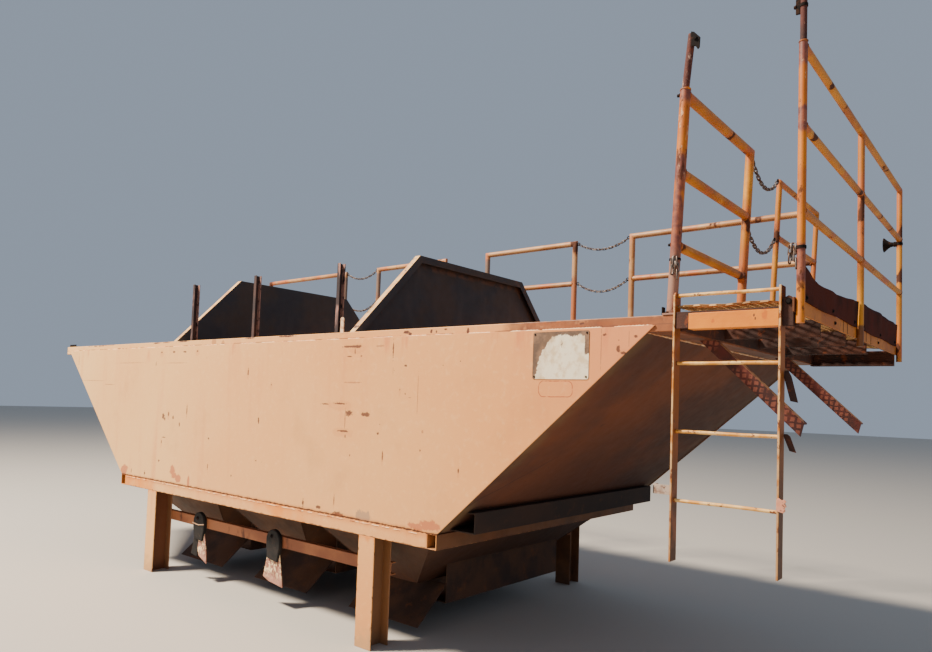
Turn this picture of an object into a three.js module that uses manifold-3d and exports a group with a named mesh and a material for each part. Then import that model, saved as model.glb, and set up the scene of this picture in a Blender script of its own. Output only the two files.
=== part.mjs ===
// Three-compartment cold feed bin on four legs, with a railed platform and ladder at its right end.
// Millimetres, +Z up, +X along the bin towards the ladder, +Y from the front wall to the back wall.
import * as THREE from "three";
import { mergeVertices } from "three/addons/utils/BufferGeometryUtils.js";
import Module from "manifold-3d";

const wasm = await Module();
wasm.setup();

// Driving dimensions of the bin
const rimLength = 6540;
const binWidth = 2440;
const rimTop = 1941;
const rimDepth = 76;
const wallLap = 31;
const rimSideWidth = 76;
const rimEndWidth = 120;
const chordLength = 3810;
const chordTop = 765;
const chordDepth = 90;
const tubeWidth = 76;
const tubeWall = 6;
const plate = 8;
const endWallInset = 10;
const endLip = 35;
const endChannelX = 2100;
const endChannelBottom = 780;
const endChannelDepth = 120;
const endChannelLength = 2240;
const seat = 0.3;

// Dividers above the rim and the leaning partitions below it
const compartments = 3;
const dividerRise = 601;
const dividerInset = 10;
const dividerRun = 584;
const bendDrop = 85;
const lipDepth = 50;
const lipReach = 40;
const lipFlat = 6;
const hopperPitch = 1060;

// Hoppers and the feeder pans under them
const hopperBottom = 300;
const hopperFrontSlope = 0.92;
const hopperWall = 10;
const outletWidth = 360;
const panFloor = 170;
const panSkirt = 148;
const panOverhang = 60;
const chuteFoot = [-860, 70];
const chuteHead = -583;

// Legs, lower beams and hangers
const legSpacing = 2670;
const legFlange = 140;
const legDepth = 150;
const steelWeb = 8;
const beamTop = 503;
const beamDepth = 77;
const beamFlange = 45;
const hangers = [["left", -780], ["right", 225]];
const hangerTop = 549;
const hangerWaist = 338;
const hangerFoot = 150;
const hangerTopWidth = 186;
const hangerWaistWidth = 156;
const hangerFootWidth = 237;
const hangerThick = 20;

// Stub posts on the front rim
const stubPlaces = [["left", -880], ["middle", -18], ["right", 929]];
const stubHeight = 464;
const stubFront = 17;
const stubDepth = 46;
const stubReach = 30;
const stubFlat = 5;

// Pipe rails: the far end panel and the outer rail are of slimmer pipe; two tall posts hold a thinner pipe
const pipeRadius = 24;
const railRadius = 22.5;
const slimPipeRadius = 16.7;
const thinPipeRadius = 16.7;
const slimThinRadius = 13.4;
const pipeSides = 12;
const topRail = 1021;
const midRail = 661;
const lowRail = 324;
const endBackTopRail = 1008;
const railGate = 555;
const backPanelSpan = 985;
const gateShift = 35;
const endRailFoot = 3240;
const endRailLean = 0.044;
const endRailFrontPosts = [-1166, -256];
const endRailBackPosts = [305, 1196];
const endSleeveTop = 2985;
const endPostTop = 3240;
const outerRailHeights = [3028, 2696, 2342];
const outerPosts = [-1196, -45, 1177];
const outerPostFoot = 1881;
const outerSleeveTop = 3046;
const outerPostTop = 3300;

// Platform and ladder
const platformReach = 512;
const platformBack = 1180;
const gratingThickness = 28;
const gratingTop = 1980;
const frameBottom = 1872;
const frameFlat = 8;
const outerBarBottom = 1926;
const outerBarTop = 1986;
const boardInset = 1;
const rearBeamWidth = 60;
const joistPitch = 540;
const beltTop = 2118;
const beltBottom = 1975;
const beltRuns = [["front", -1160, -70], ["rear", -20, 1130]];
const bracePlaces = [["front", -760], ["rear", 492]];
const braceHeadX = 3214;
const braceEnd = [3692, 1410];
const braceWidth = 57;
const braceCut = 16;
const braceFlat = 7;
const braceFlange = 50;
const ladderTop = 2040;
const ladderBottom = 844;
const rungTop = 2027;
const rungStep = 304.8;
const rungCount = 4;
const rungRadius = 8;
const stringerDepth = 64;
const stringerFlat = 9;
const ladderWidth = 461;
const ladderLug = { reach: 3190, bottom: 1135, top: 1178 };

// Worked-out places
const halfRim = rimLength / 2;
const halfWidth = binWidth / 2;
const halfChord = chordLength / 2;
const rimBottom = rimTop - rimDepth;
const chordBottom = chordTop - chordDepth;
const wallTopHalf = halfRim - rimEndWidth;
const wallHeight = rimBottom - chordTop;
const endRun = wallTopHalf - halfChord;
const endSlope = endRun / wallHeight;
const innerFace = halfWidth - rimSideWidth;
const dividerX = rimLength / compartments / 2;
const ridgeX = hopperPitch / 2;
const tubeInner = halfChord - tubeWidth;

const finish = {
  bin: { color: 0xc9a184, roughness: 0.62, metalness: 0.1 },
  divider: { color: 0x2c2322, roughness: 0.7, metalness: 0.2 },
  rail: { color: 0xc98a34, roughness: 0.5, metalness: 0.1 },
  rust: { color: 0x5b3626, roughness: 0.85, metalness: 0.2 },
  grating: { color: 0x4d4034, roughness: 0.8, metalness: 0.3 },
  belt: { color: 0x33201f, roughness: 0.8, metalness: 0.0 },
  hanger: { color: 0xb9ada3, roughness: 0.75, metalness: 0.1 },
};
const materials = {};
for (const [name, values] of Object.entries(finish)) {
  materials[name] = new THREE.MeshStandardMaterial(values);
}

const bin = new THREE.Group();

function add(name, geometry, look, parent = bin) {
  const mesh = new THREE.Mesh(geometry, materials[look]);
  mesh.name = name;
  parent.add(mesh);
  return mesh;
}

// A rectangular block between two corners
function block(low, high) {
  const geometry = new THREE.BoxGeometry(high[0] - low[0], high[1] - low[1], high[2] - low[2]);
  geometry.translate((low[0] + high[0]) / 2, (low[1] + high[1]) / 2, (low[2] + high[2]) / 2);
  return geometry;
}

// Outlines are drawn in two axes and pulled straight along the third one
const drawnIn = {
  XZ: { basis: [[1, 0, 0], [0, 0, 1], [0, -1, 0]], along: -1 },
  YZ: { basis: [[0, 1, 0], [0, 0, 1], [1, 0, 0]], along: 1 },
  XY: { basis: [[1, 0, 0], [0, 1, 0], [0, 0, 1]], along: 1 },
};

function pull(plane, outline, from, to, hole = null) {
  const shape = new THREE.Shape(outline.map(([a, b]) => new THREE.Vector2(a, b)));
  if (hole) shape.holes.push(new THREE.Path(hole.map(([a, b]) => new THREE.Vector2(a, b))));
  const geometry = new THREE.ExtrudeGeometry(shape, { depth: to - from, bevelEnabled: false });
  const { basis, along } = drawnIn[plane];
  const axes = basis.map((v) => new THREE.Vector3(...v));
  geometry.applyMatrix4(new THREE.Matrix4().makeBasis(...axes));
  const start = along > 0 ? from : to;
  const push = axes[2].clone().multiplyScalar(along * start);
  geometry.translate(push.x, push.y, push.z);
  return geometry;
}

function rectangle(a0, b0, a1, b1) {
  return [[a0, b0], [a1, b0], [a1, b1], [a0, b1]];
}

// A straight round bar or pipe between two points
function pipe(from, to, radius = pipeRadius, sides = pipeSides) {
  const start = new THREE.Vector3(...from);
  const end = new THREE.Vector3(...to);
  const length = start.distanceTo(end);
  const geometry = new THREE.CylinderGeometry(radius, radius, length, sides);
  const turn = new THREE.Quaternion().setFromUnitVectors(
    new THREE.Vector3(0, 1, 0),
    end.clone().sub(start).normalize(),
  );
  geometry.applyQuaternion(turn);
  const middle = start.add(end).multiplyScalar(0.5);
  geometry.translate(middle.x, middle.y, middle.z);
  return geometry;
}

function toSolid(geometry) {
  const bare = geometry.clone();
  bare.deleteAttribute("normal");
  bare.deleteAttribute("uv");
  const merged = mergeVertices(bare, 1e-3);
  return new wasm.Manifold(new wasm.Mesh({
    numProp: 3,
    vertProperties: new Float32Array(merged.attributes.position.array),
    triVerts: new Uint32Array(merged.index.array),
  }));
}

function toGeometry(solid) {
  const mesh = solid.getMesh();
  const geometry = new THREE.BufferGeometry();
  geometry.setAttribute("position", new THREE.BufferAttribute(new Float32Array(mesh.vertProperties), 3));
  geometry.setIndex(new THREE.BufferAttribute(new Uint32Array(mesh.triVerts), 1));
  geometry.computeVertexNormals();
  return geometry;
}

// Several overlapping shapes welded into one body
function weld(geometries) {
  return toGeometry(geometries.map(toSolid).reduce((whole, piece) => whole.add(piece)));
}

const sides = [["left", -1], ["right", 1]];
const faces = [["front", -1], ["back", 1]];

function mirrored(outline, side) {
  const points = outline.map(([a, b]) => [a * side, b]);
  return side < 0 ? points.reverse() : points;
}

// Long walls: upright plates, narrower at the foot than at the rim, lapped over the rim's outer face
const wallTop = rimBottom + wallLap;
const lappedHalf = wallTopHalf + endSlope * wallLap;
for (const [face, out] of faces) {
  const outer = out * halfWidth;
  const inner = out * (halfWidth - plate);
  const outline = [
    [-halfChord, chordTop],
    [halfChord, chordTop],
    [lappedHalf, wallTop],
    [-lappedHalf, wallTop],
  ];
  add(`${face}_wall`, pull("XZ", outline, Math.min(outer, inner), Math.max(outer, inner)), "bin");
}

// End walls: plates that slope out from the base frame to the rim, with a lip turned up against it
const endWallThick = (plate * Math.hypot(endRun, wallHeight)) / wallHeight;
const betweenWalls = halfWidth - plate - seat;
const betweenRims = innerFace - seat;
const lipFace = wallTopHalf - seat;
const lipTop = rimBottom + endLip;
for (const [side, out] of sides) {
  const foot = halfChord - endWallInset;
  const head = wallTopHalf - endWallInset;
  const outerAt = (z) => head + endSlope * (z - rimBottom);
  const heightAt = (x) => rimBottom + (x - head) / endSlope;
  const outline = [
    [foot - endWallThick, chordTop],
    [foot, chordTop],
    [head, rimBottom],
    [head - endWallThick, rimBottom],
  ];
  const root = rimBottom - plate;
  const lip = [
    [outerAt(root) - endWallThick, root],
    [outerAt(root), root],
    [lipFace, heightAt(lipFace)],
    [lipFace, lipTop],
    [lipFace - plate, lipTop],
    [lipFace - plate, heightAt(lipFace - plate + endWallThick)],
  ];
  add(`${side}_end_wall`, weld([
    pull("XZ", mirrored(outline, out), -betweenWalls, betweenWalls),
    pull("XZ", mirrored(lip, out), -betweenRims, betweenRims),
  ]), "bin");
}

// Rim: four members on top of the walls
for (const [face, out] of faces) {
  const low = Math.min(out * betweenWalls, out * innerFace);
  const high = Math.max(out * betweenWalls, out * innerFace);
  add(`${face}_rim`, block([-halfRim, low, rimBottom], [halfRim, high, rimTop]), "bin");
}
for (const [side, out] of sides) {
  const low = Math.min(out * halfRim, out * wallTopHalf);
  const high = Math.max(out * halfRim, out * wallTopHalf);
  add(`${side}_rim`, block([low, -innerFace, rimBottom], [high, innerFace, rimTop]), "bin");
}

// Dividers: bent plates that stand across the rims with sloping ends, and lean in below them
const dividerTop = rimTop + dividerRise;
const dividerBase = rimTop + seat;
const dividerBaseHalf = halfWidth - dividerInset;
const dividerTopHalf = dividerBaseHalf - dividerRun;
const dividerSlope = dividerRun / (dividerTop - dividerBase);
const bendZ = rimBottom - bendDrop;
const partitionFoot = chordTop + seat;
const halfPlate = plate / 2;

// A strip of the given depth along the two slopes and the top of a divider
function dividerEdge(depth) {
  const inFoot = dividerBaseHalf - depth * Math.hypot(1, dividerSlope);
  const inTop = inFoot - (dividerTop - depth - dividerBase) * dividerSlope;
  return [
    [-dividerBaseHalf, dividerBase],
    [-inFoot, dividerBase],
    [-inTop, dividerTop - depth],
    [inTop, dividerTop - depth],
    [inFoot, dividerBase],
    [dividerBaseHalf, dividerBase],
    [dividerTopHalf, dividerTop],
    [-dividerTopHalf, dividerTop],
  ];
}

for (const [side, out] of sides) {
  const upright = [
    [-betweenWalls, rimBottom - seat],
    [-betweenWalls, bendZ],
    [betweenWalls, bendZ],
    [betweenWalls, rimBottom - seat],
    [betweenRims, rimBottom - seat],
    [betweenRims, dividerBase],
    [dividerBaseHalf, dividerBase],
    [dividerTopHalf, dividerTop],
    [-dividerTopHalf, dividerTop],
    [-dividerBaseHalf, dividerBase],
    [-betweenRims, dividerBase],
    [-betweenRims, rimBottom - seat],
  ];
  const leaning = [
    [ridgeX - halfPlate, partitionFoot],
    [ridgeX + halfPlate, partitionFoot],
    [dividerX + halfPlate, bendZ],
    [dividerX + halfPlate, bendZ + plate],
    [dividerX - halfPlate, bendZ + plate],
    [dividerX - halfPlate, bendZ],
  ];
  const low = out * dividerX - halfPlate;
  const lipOuter = out * (dividerX + halfPlate + lipReach);
  const lipInner = lipOuter - out * lipFlat;
  const flange = [out * dividerX, lipOuter].sort((a, b) => a - b);
  const lip = [lipInner, lipOuter].sort((a, b) => a - b);
  add(`${side}_divider`, weld([
    pull("YZ", upright, low, low + plate),
    pull("XZ", mirrored(leaning, out), -betweenWalls, betweenWalls),
    pull("YZ", dividerEdge(lipFlat), ...flange),
    pull("YZ", dividerEdge(lipDepth), ...lip),
  ]), "divider");
}

// Base frame: solid long chords between two open-ended cross tubes
for (const [face, out] of faces) {
  const outer = out * halfWidth;
  const inner = out * (halfWidth - tubeWidth);
  const low = [-tubeInner, Math.min(outer, inner), chordBottom];
  const high = [tubeInner, Math.max(outer, inner), chordTop];
  add(`${face}_chord`, block(low, high), "bin");
}
for (const [side, out] of sides) {
  const x0 = Math.min(out * halfChord, out * tubeInner);
  const x1 = Math.max(out * halfChord, out * tubeInner);
  const bore = rectangle(x0 + tubeWall, chordBottom + tubeWall, x1 - tubeWall, chordTop - tubeWall);
  const section = rectangle(x0, chordBottom, x1, chordTop);
  add(`${side}_cross_tube`, pull("XZ", section, -halfWidth, halfWidth, bore), "bin");
}

// End channels: under the foot of each end wall, with the flanges turned in to it
const wallFace = (z) => halfChord - endWallInset + endSlope * (z - chordTop) + seat * 2;
for (const [side, out] of sides) {
  const low = endChannelBottom;
  const high = endChannelBottom + endChannelDepth;
  const outline = [
    [wallFace(low), low],
    [endChannelX, low],
    [endChannelX, high],
    [wallFace(high), high],
    [wallFace(high - plate), high - plate],
    [endChannelX - plate, high - plate],
    [endChannelX - plate, low + plate],
    [wallFace(low + plate), low + plate],
  ];
  const half = endChannelLength / 2;
  add(`${side}_end_channel`, pull("XZ", mirrored(outline, out), -half, half), "bin");
}

// Hoppers: four sloping plates each, mitred at the corners and hung inside the base frame
function funnelCorner(top, bottom, side) {
  const [x, y, back] = side;
  const inset = [(x > 0 ? -1 : 1) * hopperWall, (y > 0 ? -1 : 1) * hopperWall];
  const column = x > 0 ? 2 : 0;
  const row = y > 0 ? 3 : 1;
  const shift = (y > 0 ? -1 : 1) * back;
  const outerTop = [top[column], top[row] + shift, hopperTop];
  const outerBottom = [bottom[column], bottom[row] + shift, hopperBottom];
  const inward = ([px, py, pz]) => [px + inset[0], py + inset[1], pz];
  return [outerTop, outerBottom, inward(outerBottom), inward(outerTop)];
}

// A plate between two corners, each given as its outer top, outer bottom, inner bottom and inner top point
function slopingPlate(start, end) {
  const index = [0, 3, 2, 0, 2, 1, 4, 5, 6, 4, 6, 7];
  for (let edge = 0; edge < 4; edge += 1) {
    const next = (edge + 1) % 4;
    index.push(edge, next, next + 4, edge, next + 4, edge + 4);
  }
  const geometry = new THREE.BufferGeometry();
  geometry.setAttribute("position", new THREE.Float32BufferAttribute([...start, ...end].flat(), 3));
  geometry.setIndex(index);
  geometry.computeVertexNormals();
  return geometry;
}

const hopperTop = chordTop;
const hopperDrop = hopperTop - hopperBottom;
const hopperHalfY = halfWidth - tubeWidth - seat;
const outletHalfY = hopperHalfY - hopperDrop * hopperFrontSlope;
const outerTopX = tubeInner - seat;
const outerBottomX = outerTopX - hopperDrop * endSlope;
const endOutletX = outerBottomX - outletWidth / 2;
const hoppers = [
  ["left", -outerTopX, -ridgeX - seat / 2, -endOutletX],
  ["middle", -ridgeX + seat / 2, ridgeX - seat / 2, 0],
  ["right", ridgeX + seat / 2, outerTopX, endOutletX],
];
for (const [name, lowX, highX, outletX] of hoppers) {
  const top = [lowX, -hopperHalfY, highX, hopperHalfY];
  const bottom = [outletX - outletWidth / 2, -outletHalfY, outletX + outletWidth / 2, outletHalfY];
  const plates = [
    ["front", [-1, -1, 0], [1, -1, 0]],
    ["right", [1, -1, seat], [1, 1, seat]],
    ["back", [1, 1, 0], [-1, 1, 0]],
    ["left", [-1, 1, seat], [-1, -1, seat]],
  ];
  for (const [face, start, end] of plates) {
    const corners = [start, end].map((side) => funnelCorner(top, bottom, side));
    add(`${name}_hopper_${face}`, slopingPlate(...corners), "bin");
  }
}

// Feeder pans: troughs whose sides reach up to the hopper plates, with a chute plate at the front end
for (const [name, topLow, topHigh, outletX] of hoppers) {
  const outletLow = outletX - outletWidth / 2;
  const outletHigh = outletX + outletWidth / 2;
  const heightAt = (offset, run) => hopperBottom + (offset * hopperDrop) / run - seat * 2;
  const lowRun = outletLow - topLow;
  const highRun = topHigh - outletHigh;
  const panLow = outletLow - panSkirt;
  const panHigh = outletHigh + panSkirt;
  const trough = [
    [panLow, panFloor],
    [panHigh, panFloor],
    [panHigh, heightAt(panSkirt, highRun)],
    [panHigh - plate, heightAt(panSkirt - plate, highRun)],
    [panHigh - plate, panFloor + plate],
    [panLow + plate, panFloor + plate],
    [panLow + plate, heightAt(panSkirt - plate, lowRun)],
    [panLow, heightAt(panSkirt, lowRun)],
  ];
  const [chuteY, chuteZ] = chuteFoot;
  const chute = [
    [chuteY, chuteZ],
    [chuteY + plate, chuteZ],
    [chuteHead + plate, hopperBottom - seat],
    [chuteHead, hopperBottom - seat],
  ];
  add(`${name}_feeder_pan`, weld([
    pull("XZ", trough, chuteHead, outletHalfY + panOverhang),
    pull("YZ", chute, panLow, panHigh),
  ]), "rust");
}

// Legs: wide-flange posts with their flanges facing the front and the back
for (const [face, outY] of faces) {
  for (const [side, outX] of sides) {
    const centre = (outX * legSpacing) / 2;
    const halfFlange = legFlange / 2;
    const halfWeb = steelWeb / 2;
    const y0 = outY < 0 ? -halfWidth : halfWidth - legDepth;
    const y1 = y0 + legDepth;
    const outline = [
      [centre - halfFlange, y0],
      [centre + halfFlange, y0],
      [centre + halfFlange, y0 + steelWeb],
      [centre + halfWeb, y0 + steelWeb],
      [centre + halfWeb, y1 - steelWeb],
      [centre + halfFlange, y1 - steelWeb],
      [centre + halfFlange, y1],
      [centre - halfFlange, y1],
      [centre - halfFlange, y1 - steelWeb],
      [centre - halfWeb, y1 - steelWeb],
      [centre - halfWeb, y0 + steelWeb],
      [centre - halfFlange, y0 + steelWeb],
    ];
    add(`${face}_${side}_leg`, pull("XY", outline, 0, chordBottom), "bin");
  }
}

// Lower beams: channels across the inner faces of the legs, webs outward
const beamHalf = (legSpacing + legFlange) / 2;
const beamBottom = beamTop - beamDepth;
for (const [face, out] of faces) {
  const web = halfWidth - legDepth;
  const back = web - beamFlange;
  const outline = [
    [-web, beamBottom],
    [-back, beamBottom],
    [-back, beamBottom + tubeWall],
    [-web + tubeWall, beamBottom + tubeWall],
    [-web + tubeWall, beamTop - tubeWall],
    [-back, beamTop - tubeWall],
    [-back, beamTop],
    [-web, beamTop],
  ];
  add(`${face}_lower_beam`, pull("YZ", mirrored(outline, -out), -beamHalf, beamHalf), "bin");
}

// Hangers: round-topped plates on the front lower beam, wider at the foot
const beamFace = -halfWidth + legDepth;
for (const [side, centre] of hangers) {
  const crown = hangerTopWidth / 2;
  const crownZ = hangerTop - crown;
  const arc = [];
  for (let step = 0; step <= 6; step += 1) {
    const angle = (Math.PI * step) / 6;
    arc.push([centre + crown * Math.cos(angle), crownZ + crown * Math.sin(angle)]);
  }
  const outline = [
    [centre - hangerFootWidth / 2, hangerFoot],
    [centre + hangerFootWidth / 2, hangerFoot],
    [centre + hangerWaistWidth / 2, hangerWaist],
    ...arc,
    [centre - hangerWaistWidth / 2, hangerWaist],
  ];
  add(`${side}_hanger`, pull("XZ", outline, beamFace - hangerThick, beamFace), "hanger");
}

// Stub posts: short channels standing on the front rim, open to the right
for (const [name, x] of stubPlaces) {
  const front = stubFront - halfWidth;
  const back = front + stubDepth;
  const outline = [
    [x, front],
    [x + stubReach, front],
    [x + stubReach, front + stubFlat],
    [x + stubFlat, front + stubFlat],
    [x + stubFlat, back - stubFlat],
    [x + stubReach, back - stubFlat],
    [x + stubReach, back],
    [x, back],
  ];
  add(`${name}_rim_post`, pull("XY", outline, rimTop, rimTop + stubHeight), "divider");
}

// Back rails: four pipe panels on the back rim with three gates between them
const backRailY = halfWidth - pipeRadius;
const heights = [topRail, midRail].map((rise) => rimTop + rise);
const postCap = rimTop + topRail + pipeRadius;
const innerPost = railGate / 2;
const outerPost = innerPost + backPanelSpan;
const farPost = outerPost + railGate;
function backPanel(name, low, high, withLastPost) {
  const postAt = (x) => pipe([x, backRailY, rimTop], [x, backRailY, postCap]);
  const pieces = [postAt(low)];
  if (withLastPost) pieces.push(postAt(high(rimTop)));
  for (const z of heights) {
    pieces.push(pipe([low, backRailY, z], [high(z), backRailY, z], railRadius));
  }
  add(name, weld(pieces), "rail");
}
const leaningX = (z) => endRailFoot + endRailLean * (z - rimTop);
backPanel("back_rail_far_left", -endRailFoot, () => gateShift - farPost, true);
backPanel("back_rail_left", gateShift - outerPost, () => gateShift - innerPost, true);
backPanel("back_rail_right", gateShift + innerPost, () => gateShift + outerPost, true);
const cornerEnd = (z) => leaningX(z - pipeRadius) - slimPipeRadius - seat;
backPanel("back_rail_far_right", gateShift + farPost, cornerEnd, false);

// End rails: two pipe panels that lean out over the platform, each on two foot plates
function leaningPanel(name, posts, rises, postRadius, crossRadius, sleeveTop, thinTop) {
  const [first, last] = posts;
  const pieces = [];
  const footZ = rimTop + frameFlat / 2;
  const cap = rimTop + rises[0] + postRadius;
  for (const y of posts) {
    const top = y === first && sleeveTop ? sleeveTop : cap;
    pieces.push(pipe([leaningX(footZ), y, footZ], [leaningX(top), y, top], postRadius));
    const foot = [endRailFoot - pipeRadius, y - postRadius, rimTop];
    pieces.push(block(foot, [halfRim, y + postRadius, rimTop + frameFlat]));
  }
  if (thinTop) {
    const start = sleeveTop - postRadius;
    pieces.push(pipe([leaningX(start), first, start], [leaningX(thinTop), first, thinTop], thinPipeRadius));
  }
  for (const rise of rises) {
    const z = rimTop + rise;
    pieces.push(pipe([leaningX(z), first, z], [leaningX(z), last, z], crossRadius));
  }
  add(name, weld(pieces), "rail");
}
const frontRises = [topRail, midRail, lowRail];
const backRises = [endBackTopRail, midRail];
const frontPipes = [pipeRadius, railRadius];
const backPipes = [slimPipeRadius, slimPipeRadius];
leaningPanel("end_rail_front", endRailFrontPosts, frontRises, ...frontPipes, endSleeveTop, endPostTop);
leaningPanel("end_rail_back", endRailBackPosts, backRises, ...backPipes, null, null);

// Platform frame: flat bars around the edge, three joists, a rear beam and a front board
const platformOut = halfRim + platformReach;
const platformFront = -halfWidth + stringerDepth + seat;
const frameTop = gratingTop - gratingThickness;
const ladderLow = halfRim + seat;
const ladderHigh = ladderLow + ladderWidth;
const halfFlat = frameFlat / 2;
const frameLow = halfRim + halfFlat;
const frameHigh = platformOut - halfFlat;
const framePieces = [
  block([platformOut - frameFlat, -halfWidth, outerBarBottom], [platformOut, platformBack, outerBarTop]),
  block([halfRim, platformFront, frameBottom], [frameHigh, platformFront + frameFlat, frameTop]),
  block([halfRim, platformBack - rearBeamWidth, frameBottom], [frameHigh, platformBack, frameTop]),
  block(
    [halfRim, platformFront + halfFlat, frameBottom],
    [halfRim + frameFlat, platformBack - halfFlat, frameTop],
  ),
  block(
    [ladderLow + stringerFlat + seat, -halfWidth + boardInset, frameBottom + boardInset],
    [ladderHigh - stringerFlat - seat, platformFront + halfFlat, frameTop - boardInset],
  ),
];
for (let joist = -1; joist <= 1; joist += 1) {
  const y = -pipeRadius * 2 + joist * joistPitch;
  framePieces.push(block(
    [frameLow, y, frameBottom + boardInset],
    [frameHigh, y + frameFlat, frameTop - boardInset],
  ));
}
add("platform_frame", weld(framePieces), "rust");

// Platform grating: the walking surface, lying on the frame
const gratingLow = [halfRim + seat, platformFront, frameTop];
const gratingHigh = [platformOut - frameFlat - seat, platformBack, gratingTop];
add("platform_grating", block(gratingLow, gratingHigh), "grating");

// Outer rail: three posts outside the platform frame with three rails
const outerX = platformOut + slimPipeRadius + seat;
const [outerFirst, outerSecond, outerLast] = outerPosts;
const [outerTop] = outerRailHeights;
const outerPieces = [
  pipe([outerX, outerFirst, outerPostFoot], [outerX, outerFirst, outerSleeveTop], slimPipeRadius),
  pipe([outerX, outerFirst, outerTop], [outerX, outerFirst, outerPostTop], slimThinRadius),
  pipe([outerX, outerSecond, outerPostFoot], [outerX, outerSecond, outerTop], slimPipeRadius),
  pipe([outerX, outerLast, outerPostFoot], [outerX, outerLast, outerTop + slimPipeRadius], slimPipeRadius),
];
for (const z of outerRailHeights) {
  outerPieces.push(pipe([outerX, outerFirst, z], [outerX, outerLast, z], slimPipeRadius));
}
add("outer_rail", weld(outerPieces), "rail");

// Splash belts: upright strips on the outer face of the platform frame
for (const [name, from, to] of beltRuns) {
  const low = [platformOut, from, beltBottom];
  add(`${name}_splash_belt`, block(low, [platformOut + plate, to, beltTop]), "belt");
}

// Braces: angles that slope down and out from under the end rim to a free end, cut off nearly upright
const braceHead = rimBottom - seat;
const braceLine = new THREE.Vector2(braceEnd[0] - braceHeadX, braceEnd[1] - braceHead).normalize();
function braceStrip(low, high) {
  const headAt = (width) => [braceHeadX - width / braceLine.y, braceHead];
  const footAt = (width) => {
    const lean = (braceCut * width) / braceWidth;
    return [braceEnd[0] + lean, braceEnd[1] + (width + lean * braceLine.y) / braceLine.x];
  };
  return [headAt(low), footAt(low), footAt(high), headAt(high)];
}
for (const [name, y] of bracePlaces) {
  add(`${name}_brace`, weld([
    pull("XZ", braceStrip(0, braceWidth), y, y + braceFlat),
    pull("XZ", braceStrip(braceWidth - braceFlat, braceWidth), y, y + braceFlange),
  ]), "grating");
}

// Ladder: two flat bars on edge, round rungs and one fixing lug
const ladderFront = -halfWidth;
const stringerBack = ladderFront + stringerDepth;
const ladderPieces = [];
for (const x of [ladderLow, ladderHigh - stringerFlat]) {
  ladderPieces.push(block([x, ladderFront, ladderBottom], [x + stringerFlat, stringerBack, ladderTop]));
}
for (let rung = 0; rung < rungCount; rung += 1) {
  const z = rungTop - rung * rungStep;
  const y = (ladderFront + stringerBack) / 2;
  ladderPieces.push(pipe(
    [ladderLow + stringerFlat / 2, y, z],
    [ladderHigh - stringerFlat / 2, y, z],
    rungRadius,
  ));
}
ladderPieces.push(block(
  [ladderLug.reach, stringerBack - stringerFlat * 2, ladderLug.bottom],
  [ladderLow + stringerFlat / 2, stringerBack - stringerFlat, ladderLug.top],
));
add("ladder", weld(ladderPieces), "rail");

// The origin lies on the ground, in the middle of the whole part
const rightmost = outerX + slimPipeRadius;
bin.position.x = (halfRim - rightmost) / 2;

export default bin;
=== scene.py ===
import math
import random

import bmesh
import bpy
from mathutils import Matrix, Vector


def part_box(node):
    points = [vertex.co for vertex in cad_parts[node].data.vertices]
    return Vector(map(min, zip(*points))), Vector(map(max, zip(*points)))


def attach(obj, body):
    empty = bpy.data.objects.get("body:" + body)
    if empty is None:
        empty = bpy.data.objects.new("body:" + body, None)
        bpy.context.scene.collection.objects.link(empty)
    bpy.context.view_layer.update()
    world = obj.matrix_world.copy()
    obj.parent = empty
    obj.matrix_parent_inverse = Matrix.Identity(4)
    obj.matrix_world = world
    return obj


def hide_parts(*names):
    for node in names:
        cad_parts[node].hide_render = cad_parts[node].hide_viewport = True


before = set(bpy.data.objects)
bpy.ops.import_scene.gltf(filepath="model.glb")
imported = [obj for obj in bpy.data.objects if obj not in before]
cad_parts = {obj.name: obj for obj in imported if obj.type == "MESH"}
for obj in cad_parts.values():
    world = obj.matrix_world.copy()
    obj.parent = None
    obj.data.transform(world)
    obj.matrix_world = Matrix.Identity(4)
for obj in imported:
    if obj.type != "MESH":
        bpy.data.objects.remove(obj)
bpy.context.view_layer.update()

# Camera
# A standing person's eye in front of the right half of the bin, with the lens of a small compact camera.
# The picture is 932 by 652 pixels, and its optical centre lies a little under its middle.
picture_width = 932
picture_height = 652
focal_pixels = 713.05
film_width = 36
optical_row = 366.5
eye = Vector((4.3143, -4.2587, 1.5115))
heading = 0.6904
upward = 0.05093
tilt = 0.03519
level = Vector((-math.sin(heading), math.cos(heading), 0))
aside = Vector((math.cos(heading), math.sin(heading), 0))
ahead = math.cos(upward) * level + math.sin(upward) * Vector((0, 0, 1))
above = -math.sin(upward) * level + math.cos(upward) * Vector((0, 0, 1))
right = math.cos(tilt) * aside + math.sin(tilt) * above
up = -math.sin(tilt) * aside + math.cos(tilt) * above
camera_data = bpy.data.cameras.new("photo_camera")
camera_data.sensor_width = film_width
camera_data.lens = film_width * focal_pixels / picture_width
camera_data.shift_y = (optical_row - picture_height / 2) / picture_width
camera_data.clip_end = 300
camera = bpy.data.objects.new("photo_camera", camera_data)
turned = Matrix((right, up, -ahead)).transposed().to_4x4()
camera.matrix_world = Matrix.Translation(eye) @ turned
bpy.context.scene.collection.objects.link(camera)
bpy.context.scene.camera = camera


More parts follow.
